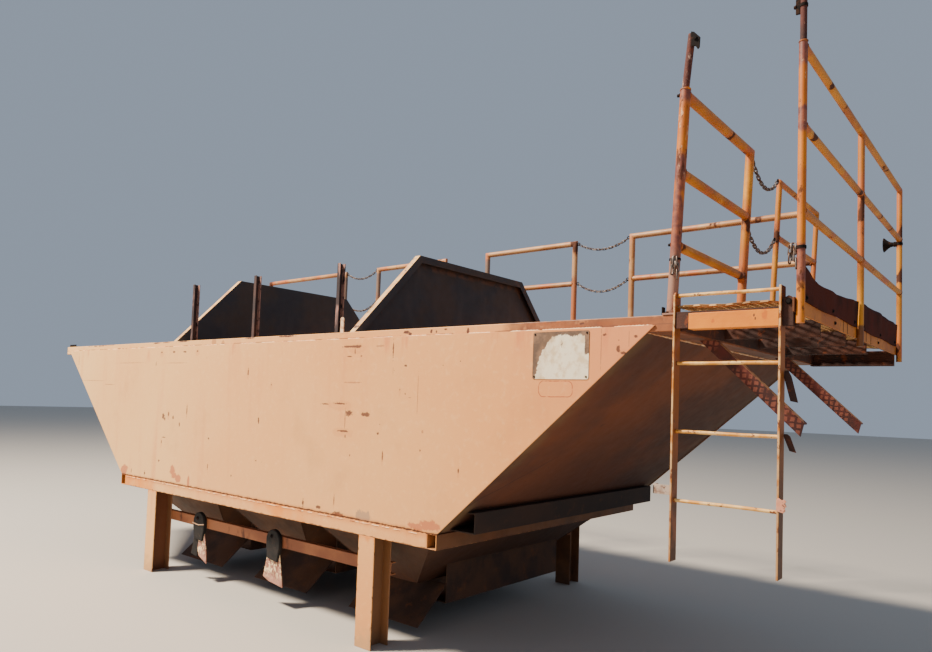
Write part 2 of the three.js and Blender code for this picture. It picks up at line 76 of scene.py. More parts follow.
# Front wall
# One upright plate 8 mm thick with sloping ends, the face that the whole bin is known by.
# Salmon paint over red-brown primer, bleached by the sun, with chips, scratches and rust at its foot.
class Wire:
    """One socket of a finish; Python's operators on it add Math nodes."""

    def __init__(self, finish, socket):
        self.finish = finish
        self.socket = socket

    def math(self, operation, first, second=0.0, clamp=False):
        settings = {"operation": operation, "use_clamp": clamp}
        return self.finish.node("ShaderNodeMath", settings, {0: first, 1: second})

    def __add__(self, other):
        return self.math("ADD", self, other)

    __radd__ = __add__

    def __sub__(self, other):
        return self.math("SUBTRACT", self, other)

    def __rsub__(self, other):
        return self.math("SUBTRACT", other, self)

    def __mul__(self, other):
        return self.math("MULTIPLY", self, other)

    __rmul__ = __mul__

    def __pow__(self, other):
        return self.math("POWER", self, other)

    def most(self, other):
        return self.math("MAXIMUM", self, other)

    def least(self, other):
        return self.math("MINIMUM", self, other)

    def held(self):
        return self.math("ADD", self, 0.0, clamp=True)

    def away(self, value):
        return self.math("ABSOLUTE", self - value)

    def ramp(self, low, high):
        """0 below low and 1 above high, with a soft step; where low is above high, 1 comes first."""
        values = {"Value": self, "From Min": low, "From Max": high}
        return self.finish.node("ShaderNodeMapRange", {"interpolation_type": "SMOOTHSTEP"}, values)

    def output(self, name):
        return Wire(self.finish, self.socket.node.outputs[name])


class Finish:
    """A paint or metal; its node method adds any node, and the others are short words for common ones."""

    def __init__(self, name):
        self.material = bpy.data.materials.new(name)
        self.material.use_nodes = True
        self.tree = self.material.node_tree
        self.tree.nodes.clear()
        self.place = self.node("ShaderNodeTexCoord", output="Object")
        self.x = self.node("ShaderNodeSeparateXYZ", values={0: self.place}, output="X")
        self.y = self.x.output("Y")
        self.z = self.x.output("Z")
        self.normal_z = self.node(
            "ShaderNodeSeparateXYZ",
            values={0: self.node("ShaderNodeNewGeometry", output="True Normal")},
            output="Z",
        )

    def node(self, kind, settings=None, values=None, output=0):
        made = self.tree.nodes.new(kind)
        for key, value in (settings or {}).items():
            setattr(made, key, value)
        for key, value in (values or {}).items():
            if isinstance(value, Wire):
                self.tree.links.new(value.socket, made.inputs[key])
            else:
                made.inputs[key].default_value = value
        return Wire(self, made.outputs[output]) if made.outputs else None

    def cloud(self, scale, detail=4.0, stretch=(1, 1, 1), seed=0.0, rough=0.55):
        """Noise about 0.5, with scale blobs to the metre."""
        values = {"Vector": self.place, "Scale": stretch, "Location": (seed, seed * 1.7, -seed)}
        moved = self.node("ShaderNodeMapping", {}, values)
        values = {"Vector": moved, "Scale": scale, "Detail": detail, "Roughness": rough}
        return self.node("ShaderNodeTexNoise", {}, values)

    def specks(self, scale, size, seed=0.0):
        """1 in small round specks, with scale cells to the metre."""
        values = {"Vector": self.place, "Location": (seed, -seed, seed * 0.6)}
        moved = self.node("ShaderNodeMapping", {}, values)
        cells = self.node("ShaderNodeTexVoronoi", {}, {"Vector": moved, "Scale": scale}, "Distance")
        return cells.ramp(size, size * 0.4)

    def waver(self, swing, *noise, **more):
        """Noise about 0 in place of 0.5, swing times as strong."""
        return (self.cloud(*noise, **more) - 0.5) * swing

    def blend(self, under, over, share):
        settings = {"data_type": "RGBA", "clamp_factor": True}
        return self.node("ShaderNodeMix", settings, {0: share, 6: under, 7: over}, output=2)

    def marks(self, places, ragged=0.5, fine=45):
        """1 inside ragged marks on a front face, each (x, z, width, height), x from the bin's middle."""
        nearest = None
        for x, z, width, height in places:
            grow = (2 / width, 0, 2 / height)
            move = (-2 * (x + middle) / width, 0, -2 * z / height)
            settings = {"operation": "MULTIPLY_ADD"}
            scaled = self.node("ShaderNodeVectorMath", settings, {0: self.place, 1: grow, 2: move})
            reach = self.node("ShaderNodeVectorMath", {"operation": "LENGTH"}, {0: scaled}, "Value")
            nearest = reach if nearest is None else nearest.least(reach)
        edge = (self.cloud(fine, 5, seed=3.3, rough=0.7) - 0.5) * (ragged * 4)
        return (nearest + edge).ramp(1.15, 0.8)

    def mottle(self, under, over, *noise, low=0.4, high=0.62, **more):
        """Two colours in clouds; the second shows where the noise is above low."""
        return self.blend(under, over, self.cloud(*noise, **more).ramp(low, high))

    def base(self, under, over, *noise, **more):
        """Begins the finish's own colour with two colours in clouds."""
        self.colour = self.mottle(under, over, *noise, **more)

    def over(self, colour, share):
        """Lays a colour over the finish's own wherever share is 1."""
        self.colour = self.blend(self.colour, colour, share)

    def coat(self, roughness, relief=None, depth=0.002, metallic=0.0, shine=0.5):
        values = {"Base Color": self.colour, "Roughness": roughness, "Metallic": metallic}
        values["Specular IOR Level"] = shine
        if relief is not None:
            bump = {"Strength": 0.7, "Distance": depth, "Height": relief}
            values["Normal"] = self.node("ShaderNodeBump", {}, bump)
        surface = self.node("ShaderNodeBsdfPrincipled", {}, values)
        self.node("ShaderNodeOutputMaterial", {}, {"Surface": surface})
        return self.material


def tint(red, green, blue, depth=1.4):
    """A paint-chart colour, 0 to 255, as a shader's linear colour, deepened because the picture pales it."""
    linear = [((v / 255 + 0.055) / 1.055) ** 2.4 for v in (red, green, blue)]
    grey = sum(linear) / 3
    return (*[min(1.0, max(0.002, grey + (v - grey) * depth)) for v in linear], 1.0)


bleached = tint(230, 194, 152)
salmon = tint(216, 160, 118)
pinkish = tint(200, 134, 104)
primer = tint(168, 104, 84)
chipped = tint(92, 60, 50)
rust_dark = tint(74, 42, 28)
rust_light = tint(150, 88, 52)
dust = tint(196, 176, 150)
bare_liner = tint(116, 100, 88)
liner_rust = tint(124, 84, 64)
middle = (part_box("front_rim")[0].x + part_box("front_rim")[1].x) / 2


def faded(paint, warmth=0.0):
    """Salmon paint, paler to the left and pinker to the right, with faint runs of washed-down dirt."""
    along = (paint.x * 0.15 + (0.62 + warmth) + paint.waver(0.8, 0.7, 3, seed=2.2)).held()
    paint.colour = paint.blend(bleached, salmon, along)
    runs = paint.cloud(7, 4, (1, 1, 0.1), seed=5.1).ramp(0.52, 0.78)
    paint.over(pinkish, runs * 0.35)
    mottle = paint.cloud(24, 5, seed=7.7, rough=0.65).ramp(0.5, 0.75)
    paint.over(tint(238, 206, 168), mottle * 0.26)
    grime = paint.cloud(2.6, 6, seed=9.4, rough=0.6).ramp(0.55, 0.8)
    paint.over(tint(182, 136, 102), grime * 0.3)


def scoured(paint, share):
    """Bare, rusty steel wherever share is 1, as on the inside, where sliding stone wears the paint off."""
    paint.over(paint.mottle(bare_liner, liner_rust, 5, 6, (1, 1, 0.4), seed=1.1, low=0.45), share)


def steel_relief(paint):
    """Rolled plate under brushed paint: slow waves, a fine orange peel and pits."""
    waves = paint.cloud(1.6, 2, seed=1.2) * 0.9
    peel = paint.cloud(140, 3, seed=4.5) * 0.06
    return waves + peel + paint.cloud(30, 4, seed=6.1) * 0.08


def ease(piece, width, segments=2, angle=30):
    """Rounds a piece's edges that turn by more than the angle."""
    eased = piece.modifiers.new("eased", "BEVEL")
    eased.width = width
    eased.segments = segments
    eased.limit_method = "ANGLE"
    eased.angle_limit = math.radians(angle)
    return piece


def dress(material, edge, *names):
    """Puts a finish on CAD nodes and eases their sharp edges, as on rolled and sheared steel."""
    for name in names:
        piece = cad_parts[name]
        piece.data.materials.clear()
        piece.data.materials.append(material)
        joined = piece.modifiers.new("joined", "WELD")
        joined.merge_threshold = 0.00002
        ease(piece, edge, 2, 25)


wall_low, wall_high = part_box("front_wall")
wall_foot = wall_low.z
wall_chips = [
    (-0.842, 1.376, 0.011, 0.08), (-1.217, 1.31, 0.035, 0.05), (-1.19, 1.29, 0.02, 0.03),
    (-1.131, 1.333, 0.02, 0.03), (-1.056, 1.305, 0.02, 0.03), (-0.948, 1.25, 0.018, 0.036),
    (-0.007, 1.681, 0.013, 0.05), (0.152, 1.333, 0.02, 0.042), (-1.253, 0.933, 0.026, 0.02),
    (-0.491, 0.943, 0.009, 0.045), (-1.727, 0.805, 0.01, 0.04), (-1.485, 0.807, 0.022, 0.04),
    (-1.3, 1.851, 0.03, 0.013), (-1.099, 1.851, 0.045, 0.017), (-0.921, 1.849, 0.05, 0.012),
    (-0.727, 1.851, 0.03, 0.013), (-0.496, 1.165, 0.022, 0.014), (-0.163, 0.907, 0.014, 0.013),
    (0.285, 1.592, 0.014, 0.01), (0.144, 1.042, 0.013, 0.01), (-1.194, 1.134, 0.06, 0.009),
    (-1.226, 1.095, 0.012, 0.03), (-1.39, 1.753, 0.011, 0.038), (1.1, 1.846, 0.11, 0.014),
    (1.175, 1.844, 0.09, 0.018), (1.159, 1.818, 0.008, 0.04), (1.109, 1.782, 0.05, 0.007),
    (1.22, 1.783, 0.016, 0.009), (1.502, 1.82, 0.01, 0.115), (1.61, 1.72, 0.028, 0.012),
    (1.571, 1.577, 0.008, 0.01), (1.616, 1.553, 0.01, 0.01), (0.888, 1.472, 0.07, 0.009),
    (1.037, 1.478, 0.12, 0.012), (1.126, 1.419, 0.06, 0.034), (1.281, 1.417, 0.07, 0.026),
    (1.074, 1.304, 0.1, 0.012), (1.098, 1.273, 0.008, 0.024), (1.398, 1.305, 0.016, 0.016),
    (1.445, 1.17, 0.009, 0.053), (1.755, 1.226, 0.009, 0.013), (1.15, 1.156, 0.011, 0.014),
    (2.048, 1.135, 0.008, 0.026), (0.702, 0.807, 0.02, 0.05), (0.864, 0.795, 0.05, 0.02),
    (1.017, 0.862, 0.007, 0.056), (1.056, 0.776, 0.09, 0.024), (3.004, 1.79, 0.022, 0.032),
    (3.028, 1.772, 0.03, 0.012), (3.092, 1.847, 0.02, 0.014), (2.932, 1.86, 0.02, 0.014),
]
faint_lines = [
    (1.507, 1.691, 0.005, 0.05), (1.719, 1.549, 0.006, 0.25), (1.09, 1.382, 0.012, 0.13),
    (-2.951, 1.795, 0.01, 0.16), (-1.875, 1.766, 0.5, 0.006), (-1.046, 1.759, 0.33, 0.006),
    (-2.592, 1.601, 0.5, 0.006), (-2.258, 1.567, 0.18, 0.008), (1.148, 1.615, 0.15, 0.01),
    (1.383, 1.843, 0.065, 0.013), (2.913, 1.79, 0.006, 0.2), (3.058, 1.83, 0.005, 0.08),
    (1.654, 1.531, 0.03, 0.005), (1.411, 1.361, 0.013, 0.008), (1.767, 1.336, 0.016, 0.02),
]
primer_patches = [
    (-1.017, 0.872, 0.085, 0.085), (-0.992, 0.835, 0.085, 0.05), (-0.925, 0.812, 0.09, 0.066),
    (-0.763, 0.803, 0.036, 0.085), (-1.86, 0.806, 0.13, 0.09), (1.76, 0.79, 0.14, 0.04),
    (1.84, 0.81, 0.16, 0.06),
]
rubbed_patches = [
    (1.265, 0.79, 0.07, 0.08), (1.3, 0.785, 0.13, 0.06), (1.34, 0.79, 0.03, 0.09),
    (1.24, 0.78, 0.02, 0.07),
]

paint = Finish("front_wall_paint")
faded(paint)
warm_end = (paint.x.ramp(1.9, 2.9) * paint.z.ramp(1.2, 1.8)).held()
paint.over(tint(206, 142, 112), warm_end * 0.7)
stamp_x, stamp_z, stamp_half, stamp_tall, stamp_round = 2.6606 + middle, 1.5965, 0.072, 0.012, 0.027
beside = (paint.x.away(stamp_x) - stamp_half).most(0.0)
over = (paint.z.away(stamp_z) - stamp_tall).most(0.0)
wobble = paint.waver(0.008, 30, 3, seed=3.4)
from_line = ((beside * beside + over * over) ** 0.5 - stamp_round + wobble).away(0.0)
outline_line = from_line.ramp(0.0032, 0.0014) * paint.cloud(34, 4, seed=7.9).ramp(0.36, 0.5)
paint.over(tint(142, 66, 56), outline_line * 0.7)
runs = paint.cloud(11, 4, (1, 1, 0.18), seed=8.3).ramp(0.56, 0.72)
under_rim = paint.z.ramp(1.72, 1.87) * runs
paint.over(tint(196, 128, 100), under_rim * 0.55)
paint.over(primer, paint.marks(primer_patches, 0.5, 22) * 0.75)
pale_patches = paint.marks(rubbed_patches, 0.4, 40)
paint.over(tint(172, 142, 118), pale_patches)
faint = paint.marks(faint_lines, 0.6, 60)
paint.over(tint(150, 104, 82), faint * 0.6)
halo = paint.marks([(x, z - 0.012, w * 2.0, h + 0.05) for x, z, w, h in wall_chips[::3]], 0.3, 20)
paint.over(tint(198, 140, 104), halo * 0.3)
chips = paint.marks(wall_chips, 0.75, 70)
strewn = paint.specks(9, 0.045, seed=1.9) * paint.cloud(1.3, 2, seed=6.6).ramp(0.5, 0.62)
strewn = strewn.most(paint.specks(24, 0.05, seed=4.2) * paint.cloud(0.9, 2, seed=3.1).ramp(0.56, 0.66))
chips = chips.most(strewn)
paint.over(chipped, chips * 0.92)
foot_noise = paint.cloud(22, 6, (1, 1, 0.35), seed=2.8, rough=0.72)
spotty = paint.cloud(3.1, 4, seed=6.9).ramp(0.46, 0.62)
climbing = foot_noise.ramp(0.58, 0.7) * spotty
foot_band = paint.z - wall_foot + (foot_noise - 0.5) * 0.025 - climbing * 0.03
foot_rust = foot_band.ramp(0.008, 0.002)
paint.over(rust_light, foot_band.ramp(0.022, 0.004) * 0.4)
paint.over(rust_dark, foot_rust)
scoured(paint, paint.y.ramp(-1.2165, -1.2155))
rough = (0.62 + paint.waver(0.35, 18, 4, seed=3.9) + chips * 0.2 + foot_rust * 0.2).held()
relief = steel_relief(paint) - chips * 0.12 - foot_rust * 0.1
dress(paint.coat(rough, relief, 0.004), 0.0015, "front_wall")

# Rims
# Four heavy members along the top edge, welded to the wall plates with short beads.
# Same salmon paint; it has worn down to mauve primer at the right end, and rust creeps in from the top edge.
rim_low, rim_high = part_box("front_rim")
rim_chips = [
    (-0.385, 1.9, 0.05, 0.01), (-2.12, 1.9, 0.09, 0.009), (1.6, 1.921, 0.05, 0.02),
    (1.63, 1.906, 0.03, 0.03), (1.8, 1.918, 0.018, 0.02), (1.84, 1.916, 0.012, 0.014),
    (2.076, 1.912, 0.02, 0.036), (0.973, 1.9, 0.04, 0.009), (1.91, 1.927, 0.02, 0.01),
    (2.8, 1.921, 0.03, 0.012), (2.91, 1.9, 0.014, 0.014), (-1.42, 1.934, 0.1, 0.01),
    (-0.97, 1.936, 0.16, 0.01), (-0.02, 1.936, 0.12, 0.012), (0.43, 1.935, 0.2, 0.012),
    (-2.62, 1.935, 0.07, 0.008),
]
rim_stains = [
    (2.7, 1.909, 0.15, 0.03), (2.78, 1.9, 0.1, 0.03), (2.935, 1.916, 0.09, 0.02),
    (3.06, 1.9, 0.1, 0.025), (2.58, 1.929, 0.2, 0.02), (-0.506, 1.9, 0.05, 0.1),
    (-0.37, 1.9, 0.045, 0.08),
]
paint = Finish("rim_paint")
faded(paint)
end_worn = (paint.x.ramp(1.6, 2.75) + paint.waver(1.1, 3.2, 5, seed=2.5)).ramp(0.3, 0.75)
mauve = paint.mottle(tint(142, 94, 70), tint(112, 72, 56), 6, 5, seed=5.5, low=0.42)
mauve = paint.blend(mauve, tint(184, 134, 102), paint.cloud(14, 5, seed=7.5).ramp(0.55, 0.7) * 0.6)
paint.over(mauve, end_worn)
paint.over(tint(138, 84, 60), paint.marks(rim_stains, 1.2, 9) * 0.5)
top_band = paint.z + paint.waver(0.05, 13, 6, (0.5, 1, 1), seed=3.6, rough=0.7)
top_rust = top_band.ramp(rim_high.z - 0.012, rim_high.z + 0.004)
top_rust = top_rust * paint.cloud(1.9, 3, seed=4.8).ramp(0.5, 0.58)
chips = paint.marks(rim_chips, 0.75, 60)
chips = chips.most(paint.specks(26, 0.07, seed=3.2) * paint.cloud(2.2, 2, seed=2.7).ramp(0.52, 0.6))
paint.over(rust_light, top_rust * 0.6)
paint.over(chipped, chips.most(top_rust * paint.cloud(40, 4, seed=9.9).ramp(0.48, 0.58)))
seam_line = paint.z.away(wall_high.z + 0.005).ramp(0.004, 0.001)
seam_line = seam_line * paint.cloud(9, 4, (1, 1, 0), seed=1.8).ramp(0.44, 0.56)
paint.over(tint(112, 74, 58), seam_line * 0.8)
top_dust = paint.normal_z.ramp(0.6, 0.95) * paint.cloud(8, 5, seed=6.3).ramp(0.35, 0.6)
paint.over(dust, top_dust * 0.7)
# Painted shade: faces turned downwards are painted dark brown.
painted_shade_underneath = paint.mottle(tint(92, 58, 44), tint(120, 80, 60), 5, 5, seed=8.7)
paint.over(painted_shade_underneath, paint.normal_z.ramp(-0.4, -0.8))
rough = (0.6 + paint.waver(0.4, 20, 4, seed=3.3) + chips * 0.2).held()
rim_coat = paint.coat(rough, steel_relief(paint) - chips * 0.12, 0.004)
dress(rim_coat, 0.004, "front_rim", "back_rim", "left_rim", "right_rim")

# Base frame
# Two long chords between two cross tubes, which carry the walls; the walls' feet are stitch-welded to them.
# Rust weeps from the joint and runs down over the paint in short drips.
chord_low, chord_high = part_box("front_chord")
paint = Finish("chord_paint")
faded(paint, 0.08)
drip = paint.cloud(34, 5, (1, 1, 0.05), seed=2.1, rough=0.6)
drop = paint.z - chord_high.z + (drip - 0.5) * 0.02 + drip.ramp(0.62, 0.74) * 0.03
weep = drop.ramp(-0.006, -0.002)
wide_rust = paint.cloud(1.4, 4, (1, 1, 0.8), seed=7.4).ramp(0.53, 0.66)
paint.over(tint(214, 140, 84), wide_rust * 0.75)
paint.over(tint(186, 112, 72), drop.ramp(-0.05, -0.01) * 0.35)
paint.over(rust_dark, weep)
chips = paint.specks(38, 0.08, seed=2.4) * paint.cloud(3.4, 3, seed=4.6).ramp(0.5, 0.6)
low_edge = (paint.z + paint.waver(0.03, 30, 5, seed=8.8)).ramp(chord_low.z + 0.008, chord_low.z + 0.001)
paint.over(chipped, chips.most(low_edge * 0.8))
# Painted shade: a dark square on each cross tube's front end stands for the shaded inside of the open tube.
painted_shade_bore = paint.x.away(middle).away(1.867).ramp(0.0325, 0.0315) * paint.z.ramp(0.6805, 0.6815)
painted_shade_bore = painted_shade_bore * paint.z.ramp(0.7595, 0.7585)
paint.over(tint(48, 30, 26), painted_shade_bore)
# Painted shade: the cross tubes' outer side faces are painted dark brown.
tube_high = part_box("right_cross_tube")[1]
outer_side = paint.x.away(middle).ramp(tube_high.x - middle - 0.0006, tube_high.x - middle - 0.0001)
painted_shade_mottle = paint.mottle(tint(86, 58, 44), tint(60, 42, 34), 4, 5, seed=5.3)
paint.over(painted_shade_mottle, outer_side * 0.9)
rough = (0.64 + paint.waver(0.35, 20, 4, seed=3.3) + weep * 0.2).held()
chord_coat = paint.coat(rough, steel_relief(paint) - chips * 0.1 + weep * 0.12, 0.004)
dress(chord_coat, 0.003, "front_chord", "back_chord", "left_cross_tube", "right_cross_tube")

# Undersides
# End walls, end channels and hoppers face down; they are painted dark brown, rust-stained and streaked, the
# darkness partly painted shade.
# Inside, the sliding stone has scoured the plates to bare, rusty steel.
# Partly painted shade: the end walls are painted dark brown, darker towards the bottom, over real stains and
# streaks.
paint = Finish("underside_paint")
paint.base(tint(106, 66, 48), tint(78, 50, 40), 1.1, 4, seed=3.5)
paint.over(tint(122, 74, 52), paint.cloud(2.6, 6, (1, 0.5, 1), seed=6.5).ramp(0.5, 0.72) * 0.6)
low_dark = (1.75 - paint.z + paint.waver(0.7, 1.7, 4, seed=2.1)).ramp(0.0, 1.0)
paint.over(tint(58, 40, 34), low_dark * 0.65)
streaks = paint.cloud(4.5, 5, (0.45, 1, 0.45), seed=8.5).ramp(0.58, 0.76)
paint.over(tint(62, 42, 35), streaks * 0.5)
corner = paint.y.away(0.0).ramp(1.05, 1.2)
paint.over(tint(110, 96, 74), corner * paint.cloud(4, 5, seed=1.4).ramp(0.4, 0.6) * 0.5)
blots = paint.specks(5, 0.12, seed=5.2) * paint.cloud(18, 4, seed=2.9).ramp(0.45, 0.55)
paint.over(tint(48, 30, 26), blots.most(paint.specks(16, 0.1, seed=7.1) * 0.8))
scored = paint.y * 0.57 - paint.z * 0.82 + paint.waver(0.03, 6, 3, seed=4.7)
scored = scored.away(-1.453).ramp(0.007, 0.002) * paint.z.ramp(0.86, 0.9) * paint.z.ramp(1.24, 1.18)
paint.over(tint(52, 32, 26), scored * paint.x.ramp(0.0, 0.1) * 0.8)
liner = paint.mottle(bare_liner, liner_rust, 4, 6, (0.4, 1, 0.4), seed=1.1, low=0.42, high=0.6)
liner = paint.mottle(liner, tint(132, 118, 104), 9, 5, (0.2, 1, 0.2), seed=4.1, low=0.56, high=0.7)
paint.over(liner, paint.normal_z.ramp(0.05, 0.2))
rough = (0.75 + paint.waver(0.3, 16, 4, seed=5.3)).held()
under_coat = paint.coat(rough, steel_relief(paint) - blots * 0.1, 0.004)
dress(under_coat, 0.002, "left_end_wall", "right_end_wall")
# Partly painted shade: the end channels are painted near-black brown.
paint = Finish("end_channel_paint")
paint.base(tint(50, 35, 28), tint(38, 28, 24), 3, 5, seed=3.9)
paint.over(tint(68, 46, 34), paint.cloud(14, 6, seed=6.2, rough=0.68).ramp(0.58, 0.7) * 0.7)
channel_coat = paint.coat(0.8, steel_relief(paint), 0.004)
dress(channel_coat, 0.002, "left_end_channel", "right_end_channel")

paint = Finish("back_wall_paint")
faded(paint, 0.1)
runs = paint.cloud(9, 5, (1, 1, 0.1), seed=3.8).ramp(0.55, 0.72)
paint.over(tint(170, 112, 84), runs * paint.z.ramp(1.2, 1.85) * 0.8)
low = (paint.z - wall_foot + paint.waver(0.12, 16, 6, (1, 1, 0.35), seed=2.1)).ramp(0.03, 0.004)
paint.over(rust_dark, low)
chips = paint.specks(12, 0.05, seed=6.9) * paint.cloud(1.2, 2, seed=1.6).ramp(0.48, 0.6)
paint.over(chipped, chips)
scoured(paint, paint.y.ramp(1.2165, 1.2155))
rough = (0.66 + paint.waver(0.35, 18, 4, seed=3.9)).held()
dress(paint.coat(rough, steel_relief(paint) - chips * 0.1, 0.004), 0.0015, "back_wall")

# Partly painted shade: the hoppers are painted dark brown for the shade under the bin.
paint = Finish("hopper_paint")
paint.base(tint(80, 56, 42), tint(62, 44, 36), 2.2, 5, seed=3.7)
foot = (paint.z + paint.waver(0.3, 6, 6, (1, 1, 0.3), seed=5.8)).ramp(0.5, 0.34)
paint.over(tint(72, 46, 36), foot * 0.8)
scuffs = paint.cloud(22, 6, (1, 1, 0.3), seed=7.3).ramp(0.58, 0.68)
paint.over(tint(100, 62, 44), scuffs * 0.5)
# Painted shade: towards the right hopper's outer side the paint is darker still.
paint.over(tint(58, 40, 32), paint.x.ramp(1.05 + middle, 1.35 + middle) * 0.6)
scoured(paint, paint.normal_z.ramp(0.05, 0.2))
rough = (0.7 + paint.waver(0.3, 16, 4, seed=5.3)).held()
hopper_coat = paint.coat(rough, steel_relief(paint), 0.004)
for place in ("left", "middle", "right"):
    for face in ("front", "right", "back", "left"):
        dress(hopper_coat, 0.0015, f"{place}_hopper_{face}")

# Legs and lower beams
# Wide-flange posts cut square at the ground, and channels between them behind the posts.
# Paint is dirty near the ground, with rust specks down the edges of the flanges; the front legs' webs and
# far flanges and the back legs are painted darker as painted shade.
paint = Finish("leg_paint")
faded(paint, 0.1)
splash = (paint.z + paint.waver(0.25, 12, 5, seed=4.9)).ramp(0.16, 0.0)
paint.over(tint(178, 146, 118), splash * 0.8)
near_edge = paint.x.away(middle).away(1.335).ramp(0.058, 0.068)
fleck = paint.cloud(48, 5, (1, 1, 0.5), seed=2.3, rough=0.7).ramp(0.56, 0.62)
specks = paint.specks(30, 0.07, seed=1.7) * paint.cloud(5, 3, seed=8.1).ramp(0.52, 0.6)
chips = (near_edge * fleck).most(specks)
paint.over(chipped, chips * 0.9)
head = (paint.z + paint.waver(0.1, 20, 5, (1, 1, 0.3), seed=6.4)).ramp(0.64, 0.68)
paint.over(tint(206, 132, 84), head * 0.6)
# Painted shade: the front legs' webs (the left leg's darker still), their far flanges and the back legs are
# painted darker brown.
painted_shade_web_side = paint.y.away(-1.145).ramp(0.069, 0.066) * paint.y.ramp(-1.0, -1.01)
paint.over(tint(104, 78, 62), painted_shade_web_side * 0.9)
left_leg = painted_shade_web_side * paint.x.ramp(middle - 1.2, middle - 1.25)
paint.over(tint(100, 64, 48), left_leg * 0.9)
shaded = paint.mottle(tint(90, 62, 48), tint(66, 46, 38), 5, 5, seed=3.6)
far_flange = paint.y.ramp(-1.08, -1.076) * paint.y.ramp(-1.0, -1.01)
paint.over(tint(122, 92, 74), far_flange * 0.9)
paint.over(shaded, paint.y.ramp(-1.06, -1.03) * paint.y.ramp(1.24, 1.23) * 0.9)
rough = (0.64 + paint.waver(0.35, 20, 4, seed=3.3)).held()
leg_coat = paint.coat(rough, steel_relief(paint) - chips * 0.12, 0.004)
dress(leg_coat, 0.0025, "front_left_leg", "front_right_leg", "back_left_leg", "back_right_leg")
paint = Finish("lower_beam_paint")
paint.base(tint(158, 112, 88), tint(132, 90, 72), 2.4, 5, seed=5.2)
paint.over(tint(92, 60, 48), paint.cloud(12, 6, (1, 1, 0.4), seed=8.4, rough=0.66).ramp(0.58, 0.72))
beam_coat = paint.coat(0.68, steel_relief(paint), 0.004)
dress(beam_coat, 0.002, "front_lower_beam", "back_lower_beam")

# Welds of the box
# Stitch beads join the rim, the walls and the base frame, and full beads run down the hoppers' corners.
# They were painted over with the rest, and their crowns catch the light as a broken pale line.
random.seed(7)


def circle(centre, side, other, radius, sides, turn=0.0):
    """Points round a circle that lies in the directions side and other."""
    angles = [2 * math.pi * (k + turn) / sides for k in range(sides)]
    return [centre + (side * math.cos(angle) + other * math.sin(angle)) * radius for angle in angles]


def skin(shape, rings, closed=False):
    """Faces between each ring of points and the next, and flat ends unless the rings close on themselves."""
    made = [[shape.verts.new(point) for point in ring] for ring in rings]
    pairs = list(zip(made, made[1:]))
    if closed:
        pairs.append((made[-1], made[0]))
    for first, second in pairs:
        for k in range(len(first)):
            n = (k + 1) % len(first)
            shape.faces.new((first[k], first[n], second[n], second[k]))
    if not closed:
        shape.faces.new(list(reversed(made[0])))
        shape.faces.new(made[-1])


def sweep(shape, points, radii, sides, closed=False):
    """Runs a round section of the given radii along the points, with mitred corners and flat ends."""
    count = len(points)
    spans = count if closed else count - 1
    headings = [(points[(i + 1) % count] - points[i]).normalized() for i in range(spans)]
    side = headings[-1 if closed else 0].orthogonal().normalized()
    rings = []
    for i, point in enumerate(points):
        coming = headings[i - 1] if i > 0 or closed else headings[0]
        going = headings[i] if i < spans else coming
        plane = (coming + going).normalized()
        other = coming.cross(side)
        radius = radii[i] if isinstance(radii, list) else radii
        ring = []
        for out in circle(Vector(), side, other, radius, sides):
            out -= coming * (out.dot(plane) / coming.dot(plane))
            ring.append(point + out)
        rings.append(ring)
        side = coming.rotation_difference(going) @ side
    skin(shape, rings, closed)


def bead(shape, start, end, size=0.005, step=0.006):
    """A hand-laid weld bead: a thin rod that swells and narrows with each ripple."""
    start, end = Vector(start), Vector(end)
    count = max(4, int((end - start).length / step))
    points, radii = [], []
    for i in range(count + 1):
        share = i / count
        wander = Vector([random.uniform(-1, 1) * size * 0.16 for _ in range(3)])
        points.append(start.lerp(end, share) + wander)
        taper = min(1.0, 0.55 + 6 * min(share, 1 - share))
        radii.append(size * taper * (1 + 0.18 * math.sin(i * 2.1) + random.uniform(-0.08, 0.08)))
    sweep(shape, points, radii, 6)


def stitches(shape, start, end, length, pitch, size=0.005):
    """A broken row of beads of about the given length, one to each pitch."""
    start, end = Vector(start), Vector(end)
    total = (end - start).length
    along = (end - start) / total
    reach = pitch * 0.3
    while reach + length < total:
        run = length * random.uniform(0.6, 1.15)
        bead(shape, start + along * reach, start + along * (reach + run), size)
        reach += pitch * random.uniform(0.8, 1.25)


def fasten(name, shape, material, smooth=35, replaces=()):
    """Makes a piece of the shape, in its finish, and fixes it to the bin."""
    bmesh.ops.recalc_face_normals(shape, faces=shape.faces[:])
    mesh = bpy.data.meshes.new(name)
    shape.to_mesh(mesh)
    shape.free()
    mesh.materials.append(material)
    mesh.shade_smooth()
    mesh.set_sharp_from_angle(angle=math.radians(smooth))
    piece = bpy.data.objects.new(name, mesh)
    bpy.context.scene.collection.objects.link(piece)
    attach(piece, "root")
    if replaces:
        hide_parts(*replaces)
    return piece


paint = Finish("painted_weld")
paint.base(tint(240, 212, 180), tint(216, 164, 130), 20, 4, seed=1.5)
rusted = paint.cloud(9, 4, seed=5.9).ramp(0.56, 0.62)
paint.over(rust_light, rusted * 0.8)
weld_coat = paint.coat(0.55, paint.cloud(180, 4, seed=2.0), 0.001)
seam = bmesh.new()
hopper_seam = bmesh.new()
hopper_top, hopper_foot = Vector((0, 1.1437, 0.765)), Vector((0, 0.7159, 0.3))
hopper_corners = [(1.8287, 1.3024), (0.5302, 0.9424), (0.5298, 0.18)]
end_foot, end_head = Vector((1.897, 1.216, 0.768)), Vector((3.135, 1.216, 1.86))
face_y = wall_low.y
for out in (-1, 1):
    y = face_y * -out
    lap_y = y - out * 0.0055
    top_z, foot_z = wall_high.z, chord_high.z - 0.014
    stitches(seam, (rim_low.x + 0.1, lap_y, top_z), (rim_high.x - 0.1, lap_y, top_z), 0.19, 0.235, 0.0042)
    stitches(seam, (chord_low.x, y, foot_z), (chord_high.x, y, foot_z), 0.08, 0.105, 0.003)
